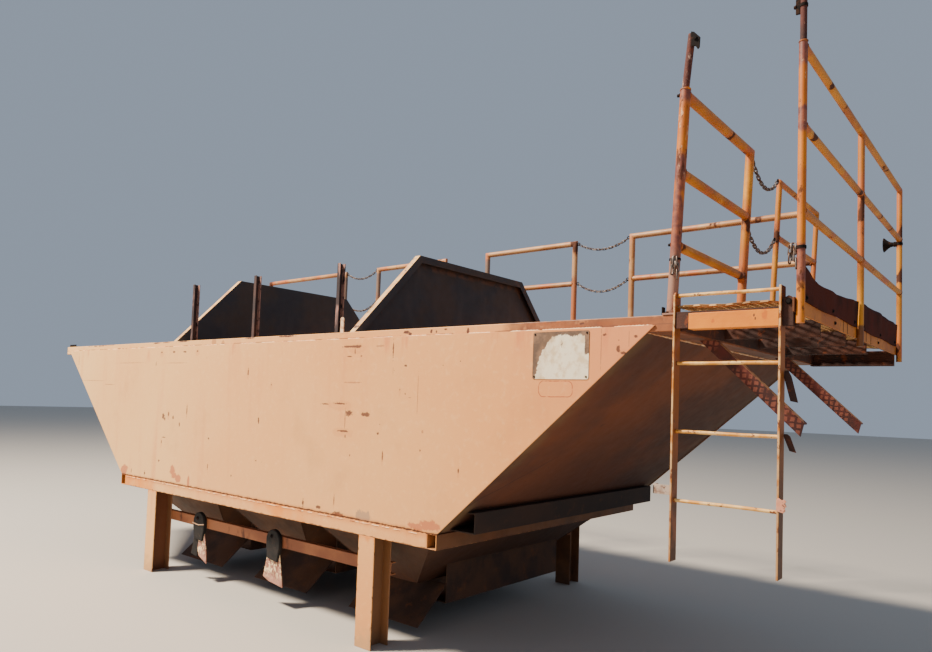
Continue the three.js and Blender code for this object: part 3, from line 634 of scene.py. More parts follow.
for side in (-1, 1):
    for face in (-1, 1):
        for top_x, foot_x in hopper_corners:
            top = Vector((middle + side * top_x, face * hopper_top.y, hopper_top.z))
            foot = Vector((middle + side * foot_x, face * hopper_foot.y, hopper_foot.z))
            bead(hopper_seam, top.lerp(foot, 0.2), top.lerp(foot, 0.98), 0.004, 0.012)
    for face in (-1, 1):
        foot = Vector((middle + side * end_foot.x, face * end_foot.y, end_foot.z))
        head = Vector((middle + side * end_head.x, face * end_head.y, end_head.z))
        stitches(seam, foot, head, 0.09, 0.2, 0.0035)
    head_x = middle + side * 3.1405
    bead(seam, (head_x, -1.2, rim_low.z - 0.001), (head_x, 1.2, rim_low.z - 0.001), 0.005, 0.02)
fasten("seam_welds", seam, weld_coat, 60)
fasten("hopper_welds", hopper_seam, hopper_coat, 60)

# Dividers
# Bent plates between the compartments, with a folded lip along the sloping edges and the top.
# Weathered almost black, with a bleached strip up the front slope and rust under the lip.
divider_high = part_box("right_divider")[1]
paint = Finish("divider_plate")
slate, brown = tint(50, 50, 54), tint(64, 56, 52)
paint.base(slate, brown, 2.4, 5, seed=4.4, low=0.42)
haze = paint.cloud(5, 6, (1, 1, 0.3), seed=2.9).ramp(0.5, 0.72)
paint.over(tint(86, 78, 74), haze * 0.4)
height = paint.z - rim_high.z
low_rear = ((paint.y + 1.1) * 0.5 - height * 1.3 + paint.cloud(3, 5, seed=6.7) * 0.5).ramp(0.3, 1.1)
paint.over(tint(104, 84, 74), low_rear * 0.6)
under_top = (divider_high.z - paint.z).away(0.066).ramp(0.03, 0.004)
under_rear = (paint.y + paint.z * 0.972).away(3.009).ramp(0.03, 0.004)
lip_rust = paint.cloud(14, 4, seed=5.7).ramp(0.4, 0.6) * paint.y.ramp(-0.62, -0.5)
lip_rust = lip_rust * paint.x.ramp(middle - 0.2, middle)
paint.over(tint(112, 84, 68), under_top.most(under_rear) * lip_rust * 0.6)
front_slope = paint.normal_z.ramp(0.55, 0.66) * paint.normal_z.ramp(0.86, 0.76)
front_slope = front_slope * paint.y.ramp(-0.5, -0.55)
bleach = paint.mottle(tint(214, 180, 138), tint(190, 146, 112), 12, 5, seed=8.6, low=0.42)
bleach = paint.mottle(bleach, rust_dark, 30, 5, seed=3.8, low=0.62, high=0.68)
paint.over(bleach, front_slope)
scratch = paint.cloud(9, 4, (1, 0.5, 0.06), seed=7.2, rough=0.7).ramp(0.7, 0.74)
paint.over(tint(150, 140, 132), scratch * 0.3)
liner = paint.mottle(bare_liner, liner_rust, 4, 6, (0.4, 1, 0.4), seed=1.1, low=0.42, high=0.6)
paint.over(liner, paint.z.ramp(1.86, 1.8))
rough = (0.6 + paint.waver(0.4, 14, 4, seed=3.3)).held()
divider_coat = paint.coat(rough, steel_relief(paint), 0.004)
dress(divider_coat, 0.0015, "left_divider", "right_divider")

# Stub posts on the front rim
# Three short channels, open to the right, and one little pale tab with a rounded top beside the right one.
# Dark and rusty, with the paint worn pinkish on the flanges' edges and down the inside of the far flange.
post_low, post_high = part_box("middle_rim_post")
paint = Finish("stub_post_paint")
paint.base(tint(50, 42, 43), tint(70, 53, 50), 9, 5, seed=4.1)
paint.over(tint(42, 32, 34), paint.cloud(3, 4, (1, 1, 0.4), seed=8.2).ramp(0.5, 0.65))
front_face = paint.y.ramp(post_low.y + 0.002, post_low.y + 0.0005)
front_face = front_face * paint.cloud(20, 4, (1, 1, 0.2), seed=2.2).ramp(0.5, 0.6)
far_flange = paint.y.ramp(post_high.y - 0.009, post_high.y - 0.006)
far_flange = far_flange * paint.y.ramp(post_high.y, post_high.y - 0.003)
worn_edge = front_face.most(far_flange * paint.cloud(26, 4, seed=6.2).ramp(0.36, 0.5))
paint.over(tint(168, 134, 126), worn_edge * 0.75)
post_coat = paint.coat(0.75, paint.cloud(60, 5, seed=3.1), 0.002)
dress(post_coat, 0.001, "left_rim_post", "middle_rim_post", "right_rim_post")
tab_x, tab_y, tab_half, tab_top = 0.984 + middle, -1.186, 0.016, 2.045


def arc(first, second, radius, start, end, steps):
    """Points of an arc about (first, second), from one angle in degrees to another."""
    angles = [math.radians(start + (end - start) * k / steps) for k in range(steps + 1)]
    return [(first + radius * math.cos(angle), second + radius * math.sin(angle)) for angle in angles]


def plate_of(shape, outline, axis, low, high):
    """A flat piece from low to high along the axis; its outline gives the other two directions."""
    skin(shape, [[(*spot[:axis], depth, *spot[axis:]) for spot in outline] for depth in (low, high)])


tab = bmesh.new()
outline = [(tab_x - tab_half, rim_high.z - 0.0005), (tab_x + tab_half, rim_high.z - 0.0005)]
outline += arc(tab_x, tab_top - tab_half, tab_half, 0, 180, 8)
plate_of(tab, outline, 1, tab_y - 0.004, tab_y + 0.004)
paint = Finish("tab_paint")
paint.base(tint(228, 204, 180), tint(190, 150, 124), 30, 5, seed=1.9, low=0.45, high=0.65)
tab_coat = paint.coat(0.6, paint.cloud(90, 4), 0.001)
fasten("rim_tab", tab, tab_coat)

# Pipe rails on the back rim
# Posts and top rails are one run of 48 mm pipe with mitred corners; the lower rail is butted in and welded.
# Yellow-orange enamel, gone to rust round the welds, at the feet and in blotches; worn thin on top.
lean_foot = 3.24 + middle
lean = 0.044
rail_y = 1.196
rail_heights = (2.962, 2.602)
panel_posts = [(-3.24, -1.7825), (-1.2275, -0.2425), (0.3125, 1.2975)]
pipe_radius = 0.024
rail_radius = 0.0225
upright = Vector((0, 0, 1))
eastward = Vector((1, 0, 0))
northward = Vector((0, 1, 0))


def run_pipe(shape, corners, radius, sides=20, step=0.04):
    """A straight or mitred pipe, with rings close enough to carry its wear."""
    points = [Vector(corners[0])]
    for start, end in zip(corners, corners[1:]):
        start, end = Vector(start), Vector(end)
        count = max(1, int((end - start).length / step))
        points += [start.lerp(end, (k + 1) / count) for k in range(count)]
    sweep(shape, points, radius, sides)


def saddle(shape, joint, along, post_axis, rail=rail_radius, post=pipe_radius, size=0.0045):
    """The weld all round the end of a rail where it is butted against a post."""
    across = along.cross(post_axis).normalized()
    points = []
    for k in range(18):
        angle = 2 * math.pi * k / 18
        wide = rail * math.cos(angle)
        reach = math.sqrt(max(post * post - wide * wide, 0.0))
        jitter = 1 + random.uniform(-0.04, 0.04)
        out = across * wide + post_axis * rail * math.sin(angle)
        points.append(joint + out * jitter + along * reach)
    sweep(shape, points, [size * random.uniform(0.8, 1.2) for _ in points], 6, closed=True)


def foot_weld(shape, place, radius=pipe_radius, size=0.005):
    """The weld round an upright pipe's foot."""
    points = circle(place, eastward, northward, radius, 18)
    sweep(shape, points, [size * random.uniform(0.8, 1.25) for _ in points], 6, closed=True)


def wear_near(shape, joints, reach=0.085):
    """Tells the paint how near each point is to a joint, where it has burnt and worn off."""
    layer = shape.verts.layers.float.new("worn")
    for vert in shape.verts:
        nearest = min((vert.co - joint).length for joint in joints)
        vert[layer] = math.exp(-((nearest / reach) ** 2))


paint = Finish("rail_paint")
worn = paint.node("ShaderNodeAttribute", {"attribute_name": "worn"}, output="Fac")
paint.base(tint(194, 140, 86), tint(168, 114, 74), 2.4, 4, seed=3.4)
paint.over(tint(218, 168, 104), paint.cloud(6, 5, seed=6.2).ramp(0.52, 0.7) * 0.6)
back_run = paint.y.ramp(1.14, 1.165) * (paint.x - paint.z * 0.04).ramp(2.85, 2.8)
greyed = paint.mottle(tint(178, 150, 126), tint(152, 118, 98), 5, 5, seed=4.9, low=0.42, high=0.6)
paint.over(greyed, back_run * 0.7)
# Painted shade: on the back rail, the posts between the rails, towards the left, are painted dark grey.
between = paint.z.ramp(2.925, 2.915) * paint.z.away(2.602).ramp(0.03, 0.035)
shady_posts = back_run * between * (paint.x - middle).ramp(1.1, 0.6)
paint.over(tint(112, 98, 92), shady_posts * 0.85)
thin = paint.cloud(4.5, 4, (1, 1, 0.4), seed=9.1, rough=0.5) + worn * 0.12
paint.over(tint(176, 110, 84), thin.ramp(0.55, 0.66) * 0.75)
blotch = paint.cloud(11, 4, (1, 1, 0.5), seed=1.7, rough=0.5) + worn * 0.1
rusted = blotch.ramp(0.645, 0.69)
paint.over(rust_light, blotch.ramp(0.58, 0.66) * 0.35)
paint.over(rust_dark, rusted)
post_foot_rust = paint.x.ramp(middle + 3.7, middle + 3.75) * paint.z.ramp(2.0, 1.985)
post_foot_rust = post_foot_rust * paint.y.away(-0.045).ramp(0.05, 0.045)
paint.over(tint(78, 50, 40), post_foot_rust * 0.85)
rough = (0.5 + rusted * 0.3 + paint.waver(0.3, 30, 3, seed=5.5)).held()
rail_relief = paint.cloud(60, 2, seed=2.6) * 0.12 - rusted * 0.3
rail_coat = paint.coat(rough, rail_relief, 0.001)

paint = Finish("worn_post_paint")
worn = paint.node("ShaderNodeAttribute", {"attribute_name": "worn"}, output="Fac")
level_z = paint.z + paint.waver(0.12, 9, 4, seed=4.4)
paint.base(tint(190, 124, 62), tint(170, 106, 60), 5, 4, seed=4.7, low=0.42, high=0.6)
mauve = paint.mottle(tint(142, 92, 76), tint(108, 68, 62), 24, 4, seed=2.2, high=0.6)
outer_post = paint.x.ramp(middle + 3.5, middle + 3.6)
outer_bands = level_z.away(2.73).ramp(0.055, 0.035).most(level_z.away(3.01).ramp(0.085, 0.06))
outer_bands = outer_bands.most(level_z.away(2.12).ramp(0.1, 0.07))
inner_bands = level_z.ramp(2.72, 2.66) * paint.cloud(7, 5, (1, 1, 0.5), seed=8.8).ramp(0.36, 0.48)
inner_bands = inner_bands.most(level_z.ramp(2.9, 2.96))
bands = paint.blend(inner_bands, outer_bands, outer_post)
paint.over(mauve, bands)
low_post = paint.z.ramp(2.3, 2.1) * (1 - outer_post)
paint.over(tint(152, 122, 110), low_post * 0.85)
blotch = paint.cloud(15, 6, (1, 1, 0.5), seed=1.7, rough=0.7) + worn * 0.08
rusted = blotch.ramp(0.62, 0.67)
paint.over(rust_dark, rusted * 0.85)
flakes = paint.cloud(34, 5, (1, 1, 0.4), seed=6.6, rough=0.65).ramp(0.62, 0.66)
paint.over(tint(212, 180, 150), flakes * level_z.ramp(2.4, 2.5) * 0.7)
rough = (0.55 + rusted * 0.3).held()
post_relief = paint.cloud(120, 4, seed=2.6) * 0.3 - rusted * 0.4
worn_post_coat = paint.coat(rough, post_relief, 0.0015)

paint = Finish("rusty_weld")
paint.base(tint(150, 92, 52), tint(88, 54, 40), 40, 5, seed=2.3, high=0.6)
paint.over(tint(204, 138, 70), paint.cloud(16, 4, seed=6.8).ramp(0.54, 0.62) * 0.8)
bead_coat = paint.coat(0.7, paint.cloud(260, 4), 0.001)


def pipe_panel(name, runs, joints, replaces=(), coat=rail_coat, reach=0.085):
    """Pipes, each its corners and its radius, with their paint worn near the joints."""
    panel = bmesh.new()
    for corners, radius in runs:
        run_pipe(panel, corners, radius)
    wear_near(panel, joints, reach)
    fasten(name, panel, coat, 50, replaces)


def leaning(z, y):
    """A point at this height on the plane in which the end rails lean out."""
    return Vector((lean_foot + lean * (z - rim_high.z), y, z))


rail_welds = bmesh.new()
top, mid = rail_heights
panels = ["back_rail_far_left", "back_rail_left", "back_rail_right"]
for name, (first, last) in zip(panels, panel_posts):
    x0, x1 = first + middle, last + middle
    corners = [(x0, rail_y, rim_high.z), (x0, rail_y, top), (x1, rail_y, top), (x1, rail_y, rim_high.z)]
    middle_rail = [(x0, rail_y, mid), (x1, rail_y, mid)]
    joints = [Vector(corner) for corner in corners + middle_rail]
    pipe_panel(name + "_pipes", [(corners, pipe_radius), (middle_rail, rail_radius)], joints, (name,))
    saddle(rail_welds, joints[4], eastward, upright)
    saddle(rail_welds, joints[5], -eastward, upright)
    foot_weld(rail_welds, joints[0])
    foot_weld(rail_welds, joints[3])
far_x = 1.8525 + middle
corner_y = 1.196
corners = [(far_x, rail_y, rim_high.z), (far_x, rail_y, top), leaning(top, corner_y) - eastward * 0.02]
middle_rail = [(far_x, rail_y, mid), leaning(mid, corner_y) - eastward * 0.02]
joints = [Vector(corner) for corner in (*corners, middle_rail[0], leaning(mid, corner_y))]
runs = [(corners, pipe_radius), (middle_rail, rail_radius)]
pipe_panel("back_rail_far_right_pipes", runs, joints, ("back_rail_far_right",))
saddle(rail_welds, Vector((far_x, rail_y, mid)), eastward, upright)
saddle(rail_welds, leaning(mid, corner_y), -eastward, upright)
foot_weld(rail_welds, Vector((far_x, rail_y, rim_high.z)))

# End rails beside the platform
# Two panels that lean out a little, their posts on small foot plates; the first post holds a thinner pipe.
# A dark bracket plate is bolted to the top of that pipe, and clamps and a bunch of chain hang lower down.
front_posts = (-1.166, -0.256)
back_posts = (0.305, 1.196)
low_rail = 2.265
sleeve_top = 2.985
thin_top = 3.24
thin_radius = 0.0167
y0, y1 = front_posts
foot_top = rim_high.z + 0.008
post_end = foot_top - 0.004
joints = [leaning(z, y) for z in (top, mid, low_rail, foot_top) for y in front_posts]
low_bend = [leaning(low_rail, y0), leaning(low_rail, y1 - 0.03), leaning(low_rail - 0.03, y1)]
runs = [
    ([leaning(top, y0), leaning(top, y1), leaning(post_end, y1)], pipe_radius),
    ([leaning(mid, y0), leaning(mid, y1)], rail_radius),
    (low_bend, rail_radius),
]
pipe_panel("end_rail_front_pipes", runs, joints, ("end_rail_front",))
runs = [([leaning(post_end, y0), leaning(sleeve_top, y0)], pipe_radius)]
pipe_panel("end_rail_front_post", runs, joints, (), worn_post_coat, 0.16)
for z in (top, mid, low_rail):
    saddle(rail_welds, leaning(z, y0), northward, upright)
    if z != top:
        saddle(rail_welds, leaning(z, y1), -northward, upright)
y0, y1 = back_posts
slim_radius = 0.0167
slim_thin_radius = 0.0134
back_top = leaning(2.949, y1)
back_head = leaning(2.941, y0)
runs = [
    ([leaning(post_end, y0), back_head, back_top, leaning(post_end, y1)], slim_radius),
    ([leaning(mid, y0), leaning(mid, y1)], slim_radius),
]
joints = [leaning(z, y) for z in (top, mid, foot_top) for y in back_posts]
pipe_panel("end_rail_back_pipes", runs, joints, ("end_rail_back",))
saddle(rail_welds, leaning(mid, y0), northward, upright, slim_radius * 0.97, slim_radius, 0.004)
saddle(rail_welds, leaning(mid, y1), -northward, upright, slim_radius * 0.97, slim_radius, 0.004)

paint = Finish("rusty_steel")
paint.base(tint(78, 46, 42), tint(54, 36, 34), 9, 5, seed=4.3)
paint.over(tint(112, 66, 54), paint.cloud(22, 6, seed=2.6, rough=0.7).ramp(0.56, 0.68))
paint.over(tint(186, 150, 132), paint.cloud(48, 5, seed=7.6, rough=0.7).ramp(0.64, 0.7) * 0.8)
relief = paint.cloud(90, 6, seed=1.8, rough=0.7)
flecked = paint.cloud(30, 6, (1, 1, 0.35), seed=3.7, rough=0.72).ramp(0.54, 0.6)
paint.over(tint(176, 150, 138), flecked * paint.x.ramp(middle + 3.5, middle + 3.4) * 0.75)
rust_coat = paint.coat(0.85, relief, 0.003)
thin_pipes = bmesh.new()
bent_top = leaning(thin_top, front_posts[0]) + eastward * 0.014
thin_foot, thin_bend = [leaning(z, front_posts[0]) for z in (sleeve_top - 0.03, sleeve_top + 0.02)]
run_pipe(thin_pipes, [thin_foot, thin_bend, bent_top], thin_radius)


def block(shape, low, high):
    """A rectangular bar or plate between two corners."""
    (x0, y0, z0), (x1, y1, z1) = low, high
    skin(shape, [[(x0, y0, z), (x1, y0, z), (x1, y1, z), (x0, y1, z)] for z in (z0, z1)])


def bolt(shape, place, axis, across=0.019, head=0.008, washer=0.017):
    """A hexagon bolt head on a round washer; place is on the surface, and axis points out."""
    axis = Vector(axis).normalized()
    side = axis.orthogonal().normalized()
    other = axis.cross(side)
    place = Vector(place)
    turn = random.uniform(0, 1)
    top = 0.0025
    skin(shape, [circle(place + axis * rise, side, other, washer, 18) for rise in (-0.001, top)])
    corner = across / math.sqrt(3)
    rings = []
    for radius, rise in ((corner, 0.0015), (corner, top + head * 0.8), (corner * 0.84, top + head)):
        rings.append(circle(place + axis * rise, side, other, radius, 6, turn))
    skin(shape, rings)


fittings = bmesh.new()
feet = bmesh.new()
foot_low = rim_high.z + 0.0003
for y, radius in zip((*front_posts, *back_posts), (pipe_radius, pipe_radius, slim_radius, slim_radius)):
    foot = leaning(foot_top, y)
    block(feet, (foot.x - 0.024, y - 0.05, foot_low), (3.2702 + middle, y + 0.05, foot_top))
    foot_weld(rail_welds, Vector((foot.x, y, foot_top)), radius)
    bolt(fittings, (foot.x - 0.006, y - 0.037, foot_top), upright, 0.013, 0.006, 0.01)
    bolt(fittings, (foot.x - 0.006, y + 0.037, foot_top), upright, 0.013, 0.006, 0.01)
first_x, first_y = leaning(foot_top, front_posts[0]).x, front_posts[0]
block(fittings, (first_x - 0.04, first_y - 0.02, foot_low), (first_x - 0.034, first_y + 0.006, 1.982))
fasten("rail_feet", feet, worn_post_coat)
collar = leaning(sleeve_top, front_posts[0])
foot_weld(rail_welds, collar, 0.02, 0.006)
flag_x, flag_y = bent_top.x, front_posts[0] - thin_radius
flag_edge = [
    (0.004, 3.243), (0.018, 3.238), (0.046, 3.206), (0.044, 3.16),
    (0.036, 3.153), (0.026, 3.17), (0.006, 3.176),
]
plate_of(fittings, [(flag_x + x, z) for x, z in flag_edge], 1, flag_y - 0.006, flag_y + 0.002)
bolt(fittings, (flag_x + 0.026, flag_y - 0.006, 3.205), -northward, 0.013, 0.006, 0.01)
for z, across, head in ((2.966, 0.014, 0.012), (2.271, 0.013, 0.01)):
    bolt(fittings, leaning(z, front_posts[0]) - eastward * pipe_radius, -eastward, across, head, 0.01)


def ring_clamp(shape, centre, axis, radius, width=0.024, thick=0.004):
    """A flat band bent round a pipe."""
    side = axis.orthogonal().normalized()
    other = axis.cross(side)
    rings = []
    for reach, rise in ((radius, -0.5), (radius + thick, -0.5), (radius + thick, 0.5), (radius, 0.5)):
        rings.append(circle(centre + axis * (rise * width), side, other, reach, 24))
    skin(shape, rings, closed=True)


ring_clamp(fittings, leaning(2.2, front_posts[0]), upright, 0.0235, 0.009, 0.003)

# Outer rail
# Three posts bolted to the outside of the platform with three rails; the first holds a thinner pipe as well.
# The first post is the rustiest: its feet and sleeve joints have lost their paint.
outer_x = 3.799 + middle
outer_posts = (-1.196, -0.045, 1.177)
outer_heights = (3.028, 2.696, 2.342)
post_foot = 1.881
outer_sleeve = 3.046
outer_thin = 3.3
y0, y1, y2 = outer_posts
run_pipe(thin_pipes, [(outer_x, y0, outer_sleeve - 0.03), (outer_x, y0, outer_thin)], slim_thin_radius)
far_corner = (outer_x, y2, outer_heights[0])
runs = [
    ([(outer_x, y0, outer_heights[0]), far_corner, (outer_x, y2, post_foot)], slim_radius),
    ([(outer_x, y1, post_foot), (outer_x, y1, outer_heights[0])], slim_radius),
]
runs += [([(outer_x, y0, z), (outer_x, y2, z)], slim_radius * 0.98) for z in outer_heights[1:]]
joints = [Vector((outer_x, y, z)) for z in (*outer_heights, 1.95) for y in outer_posts]
pipe_panel("outer_rail_pipes", runs, joints, ("outer_rail",))
runs = [([(outer_x, y0, post_foot), (outer_x, y0, outer_sleeve)], slim_radius)]
pipe_panel("outer_rail_post", runs, joints, (), worn_post_coat, 0.12)
for z in outer_heights:
    joints = [(y0, northward)]
    if z != outer_heights[0]:
        joints += [(y2, -northward), (y1, northward), (y1, -northward)]
    for y, along in joints:
        saddle(rail_welds, Vector((outer_x, y, z)), along, upright, slim_radius * 0.95, slim_radius, 0.0035)
foot_weld(rail_welds, Vector((outer_x, y0, outer_sleeve)), 0.0145, 0.0045)
fasten("rail_welds", rail_welds, bead_coat, 60)
fasten("thin_pipes", thin_pipes, rust_coat, 50)
paint = Finish("black_steel")
paint.base(tint(30, 27, 27), tint(54, 40, 34), 30, 5, seed=2.4, low=0.5, high=0.64)
black_coat = paint.coat(0.9, paint.cloud(120, 4), 0.001, shine=0.1)
ring_clamp(fittings, Vector((outer_x, y0, 3.2)), upright, slim_thin_radius, 0.012, 0.003)
block(fittings, (outer_x - 0.03, y0 - 0.006, 3.168), (outer_x - 0.014, y0 + 0.004, 3.23))
bolt(fittings, (outer_x - 0.03, y0 - 0.001, 3.2), -eastward, 0.013, 0.006, 0.009)
ring_clamp(fittings, Vector((outer_x, y0, 2.19)), upright, slim_radius, 0.012, 0.003)

# Chains across the gates
# Short-link chain hangs slack between eyes on the posts, two to a gate; a bunch is wound on each tall post.
# Dull galvanised steel, rusting where the links rub.
paint = Finish("chain_steel")
paint.base(tint(120, 112, 108), tint(84, 64, 54), 40, 5, seed=5.1, low=0.44, high=0.6)
chain_coat = paint.coat(0.5, paint.cloud(160, 4), 0.001, metallic=0.6)
link_pitch = 0.03
link_wire = 0.0034
link_half_width = 0.0085


def link(shape, centre, along, across):
    """One welded link: two straight sides and two round ends."""
    half = link_pitch / 2 + link_wire - link_half_width * 0.5
    points = []
    for k in range(12):
        angle = 2 * math.pi * k / 12
        reach = math.cos(angle) * link_half_width
        shift = half * (1 if math.cos(angle) > 0.01 else -1 if math.cos(angle) < -0.01 else 0)
        points.append(centre + along * (reach + shift) + across * (math.sin(angle) * link_half_width))
    sweep(shape, points, link_wire, 6, closed=True)


def hang_chain(shape, start, end, slack):
    """Links along a sagging line; slack is how far its lowest point lies under the straight line."""
    start, end = Vector(start), Vector(end)
    fine = []
    for k in range(201):
        share = k / 200
        fine.append(start.lerp(end, share) - upright * (4 * slack * share * (1 - share)))
    lengths = [0.0]
    for a, b in zip(fine, fine[1:]):
        lengths.append(lengths[-1] + (b - a).length)
    count = max(2, round(lengths[-1] / link_pitch))
    for i in range(count):
        goal = lengths[-1] * (i + 0.5) / count
        k = max(j for j in range(201) if lengths[j] <= goal)
        k = min(k, 199)
        along = (fine[k + 1] - fine[k]).normalized()
        flat = along.cross(upright).normalized()
        lean_over = 0.7 if i % 2 else -0.8
        across = (flat * math.cos(lean_over) + along.cross(flat) * math.sin(lean_over)).normalized()
        link(shape, fine[k], along, across)


chains = bmesh.new()
eye_size = 0.012


def gate(left_post, right_post, drop_left, drop_right, slack):
    """One chain between two posts, and the eye on each post that holds it."""
    direction = (right_post - left_post).normalized()
    start = left_post + direction * (pipe_radius + eye_size * 1.6)
    end = right_post - direction * (pipe_radius + eye_size * 1.6)
    for place, sign in ((start, -1), (end, 1)):
        centre = place + direction * (sign * eye_size * 0.6)
        sweep(fittings, circle(centre, direction, upright, eye_size, 14), 0.0035, 6, closed=True)
    hang_chain(chains, start - upright * drop_left, end - upright * drop_right, slack)


back_gates = [(-1.7825, -1.2275), (1.2975, 1.8525)]
for a, b in back_gates:
    for z, slack in ((2.955, 0.066), (2.6, 0.08)):
        left_post = Vector((a + middle, rail_y, z))
        right_post = Vector((b + middle, rail_y, z))
        gate(left_post, right_post, 0.006, 0.006, slack)
gate(leaning(2.935, front_posts[1]), leaning(2.94, back_posts[0]), 0.004, 0.004, 0.1)
gate(leaning(2.53, front_posts[1]), leaning(2.58, back_posts[0]), 0.004, 0.004, 0.1)
bunches = [
    leaning(2.2, front_posts[0]) + Vector((0.012, -0.029, 0)),
    Vector((outer_x - 0.031, outer_posts[0], 2.2)),
]
for place in bunches:
    for strand, length in ((-0.009, 0.07), (0.009, 0.09), (0.0, 0.05)):
        start = place + Vector((strand, -0.002, 0.0))
        end = place + Vector((strand * 1.4, -0.004, -length))
        hang_chain(chains, start, end, 0.0)
fasten("gate_chains", chains, chain_coat, 60)

# Signal horn
# A small black horn clamped to the last outer post, its mouth turned towards the bin.
horn_z = 2.668
horn_profile = [
    (0.012, 0.0125), (0.018, 0.0165), (0.03, 0.0175), (0.034, 0.014), (0.05, 0.017), (0.066, 0.027),
    (0.08, 0.04), (0.088, 0.0475), (0.0905, 0.0475), (0.085, 0.041), (0.07, 0.027), (0.05, 0.013),
]
horn = bmesh.new()
rings = []
for reach, radius in horn_profile:
    rings.append(circle(Vector((outer_x - reach, y2 - 0.004, horn_z)), northward, upright, radius, 24))
skin(horn, rings)
ring_clamp(horn, Vector((outer_x, y2, horn_z)), upright, slim_radius, 0.016, 0.003)
fasten("signal_horn", horn, black_coat, 40)


# Enamelled plate
# A thin sheet riveted to the front wall near its right end, with nothing on it.
# The enamel has peeled along the top and in a strip down the left, down to dull brown-grey steel.
sign_x, sign_z, sign_width, sign_height = 2.6852 + middle, 1.7655, 0.326, 0.239
sign_y = wall_low.y - 0.0016
sign = bmesh.new()
corner = 0.008
outline = []
for side_x, side_z, start in ((1, 1, 0), (-1, 1, 90), (-1, -1, 180), (1, -1, 270)):
    centre_x = sign_x + side_x * (sign_width / 2 - corner)
    centre_z = sign_z + side_z * (sign_height / 2 - corner)
    outline += arc(centre_x, centre_z, corner, start, start + 90, 2)
plate_of(sign, outline, 1, sign_y - 0.0014, wall_low.y - 0.0002)
paint = Finish("plate_enamel")
bare = paint.mottle(tint(128, 104, 88), tint(92, 76, 66), 16, 6, seed=4.2, rough=0.65)
white = paint.mottle(tint(238, 228, 208), tint(214, 196, 170), 22, 5, seed=7.8, low=0.45, high=0.65)
across = paint.x - (sign_x - sign_width / 2)
rise = paint.z - (sign_z - sign_height / 2)
ragged = paint.waver(0.05, 36, 6, seed=2.4, rough=0.68)
bare_until = (rise * 0.25 + 0.013).most(rise * 0.787 - 0.055)
kept = (across + ragged - bare_until).ramp(0.0, 0.003)
peeled_top = (rise + ragged * 1.4).ramp(0.217, 0.221)
peeled_side = (across + ragged * 0.5).ramp(0.3, 0.303) * (rise + ragged).ramp(0.125, 0.13)
flaked = paint.cloud(22, 6, (1, 1, 0.35), seed=9.3, rough=0.7).ramp(0.655, 0.668) * rise.ramp(0.1, 0.14)
kept = (kept - peeled_top - peeled_side - flaked).held()
paint.colour = paint.blend(bare, white, kept)
grime = paint.cloud(9, 5, (1, 1, 0.3), seed=6.4).ramp(0.5, 0.75)
paint.over(tint(150, 118, 94), grime * 0.45)
sign_relief = kept * 0.5 + paint.cloud(60, 4) * 0.1
fasten("enamelled_plate", sign, paint.coat(0.5, sign_relief, 0.0008), 40)
rivets = bmesh.new()
inset_x, inset_z = sign_width / 2 - 0.012, sign_height / 2 - 0.012
for side_x in (-1, 1):
    for side_z in (-1, 1):
        place = (sign_x + side_x * inset_x, sign_y - 0.0012, sign_z + side_z * inset_z)
        bolt(rivets, place, -northward, 0.006, 0.001, 0.005)
fasten("plate_rivets", rivets, black_coat, 40)

# Feeder pans
# Folded troughs that carried the feeder belts, bare rusty plate with stone dust lying in them.
# They lie in the shade of the bin; their dark colour all over is partly painted shade.
paint = Finish("feeder_pan_steel")
paint.base(tint(78, 56, 44), tint(54, 40, 34), 3.5, 5, seed=3.4)
paint.over(tint(112, 72, 50), paint.cloud(10, 6, seed=6.6, rough=0.7).ramp(0.56, 0.72) * 0.6)
settled = paint.normal_z.ramp(0.93, 0.99) * paint.cloud(5, 5, seed=1.8).ramp(0.35, 0.6)
paint.over(tint(120, 98, 80), settled * 0.6)
pan_coat = paint.coat(0.85, paint.cloud(60, 6, seed=2.8, rough=0.65), 0.003)
dress(pan_coat, 0.0015, "left_feeder_pan", "middle_feeder_pan", "right_feeder_pan")

# Hangers
# Two plates hung on the front of the lower beam; a black rubber boot is folded over the top of each.
# The plates are pinkish grey where the primer shows, with cream paint flaking off in the middle.
paint = Finish("boot_rubber")
paint.base(tint(16, 14, 14), tint(32, 26, 24), 14, 5, seed=3.1, low=0.45, high=0.65)
paint.over(tint(92, 70, 56), paint.cloud(24, 6, seed=8.1, rough=0.7).ramp(0.62, 0.72) * 0.6)
boot_coat = paint.coat(0.8, paint.cloud(30, 5, seed=5.5), 0.006)
paint = Finish("flaking_plate")
paint.base(tint(176, 138, 126), tint(140, 104, 92), 12, 5, seed=2.8)
cream = paint.cloud(34, 6, (1, 1, 0.8), seed=4.6, rough=0.66).ramp(0.5, 0.54) * paint.z.ramp(0.17, 0.26)
paint.over(tint(236, 214, 182), cream)
dark_spots = paint.cloud(44, 6, seed=7.3, rough=0.7).ramp(0.62, 0.66)
paint.over(tint(70, 46, 38), dark_spots)
flake_coat = paint.coat(0.7, cream * 0.6 + paint.cloud(80, 4) * 0.2, 0.0015)


def hung(name, centre, coat, edge, near, far, smooth=40, replaces=()):
    """A flat piece of a hanger; its edge runs (sideways, up) from the hanger's middle."""
    shape = bmesh.new()
    plate_of(shape, [(centre + x, z) for x, z in edge], 1, near, far)
    return fasten(name, shape, coat, smooth, replaces)


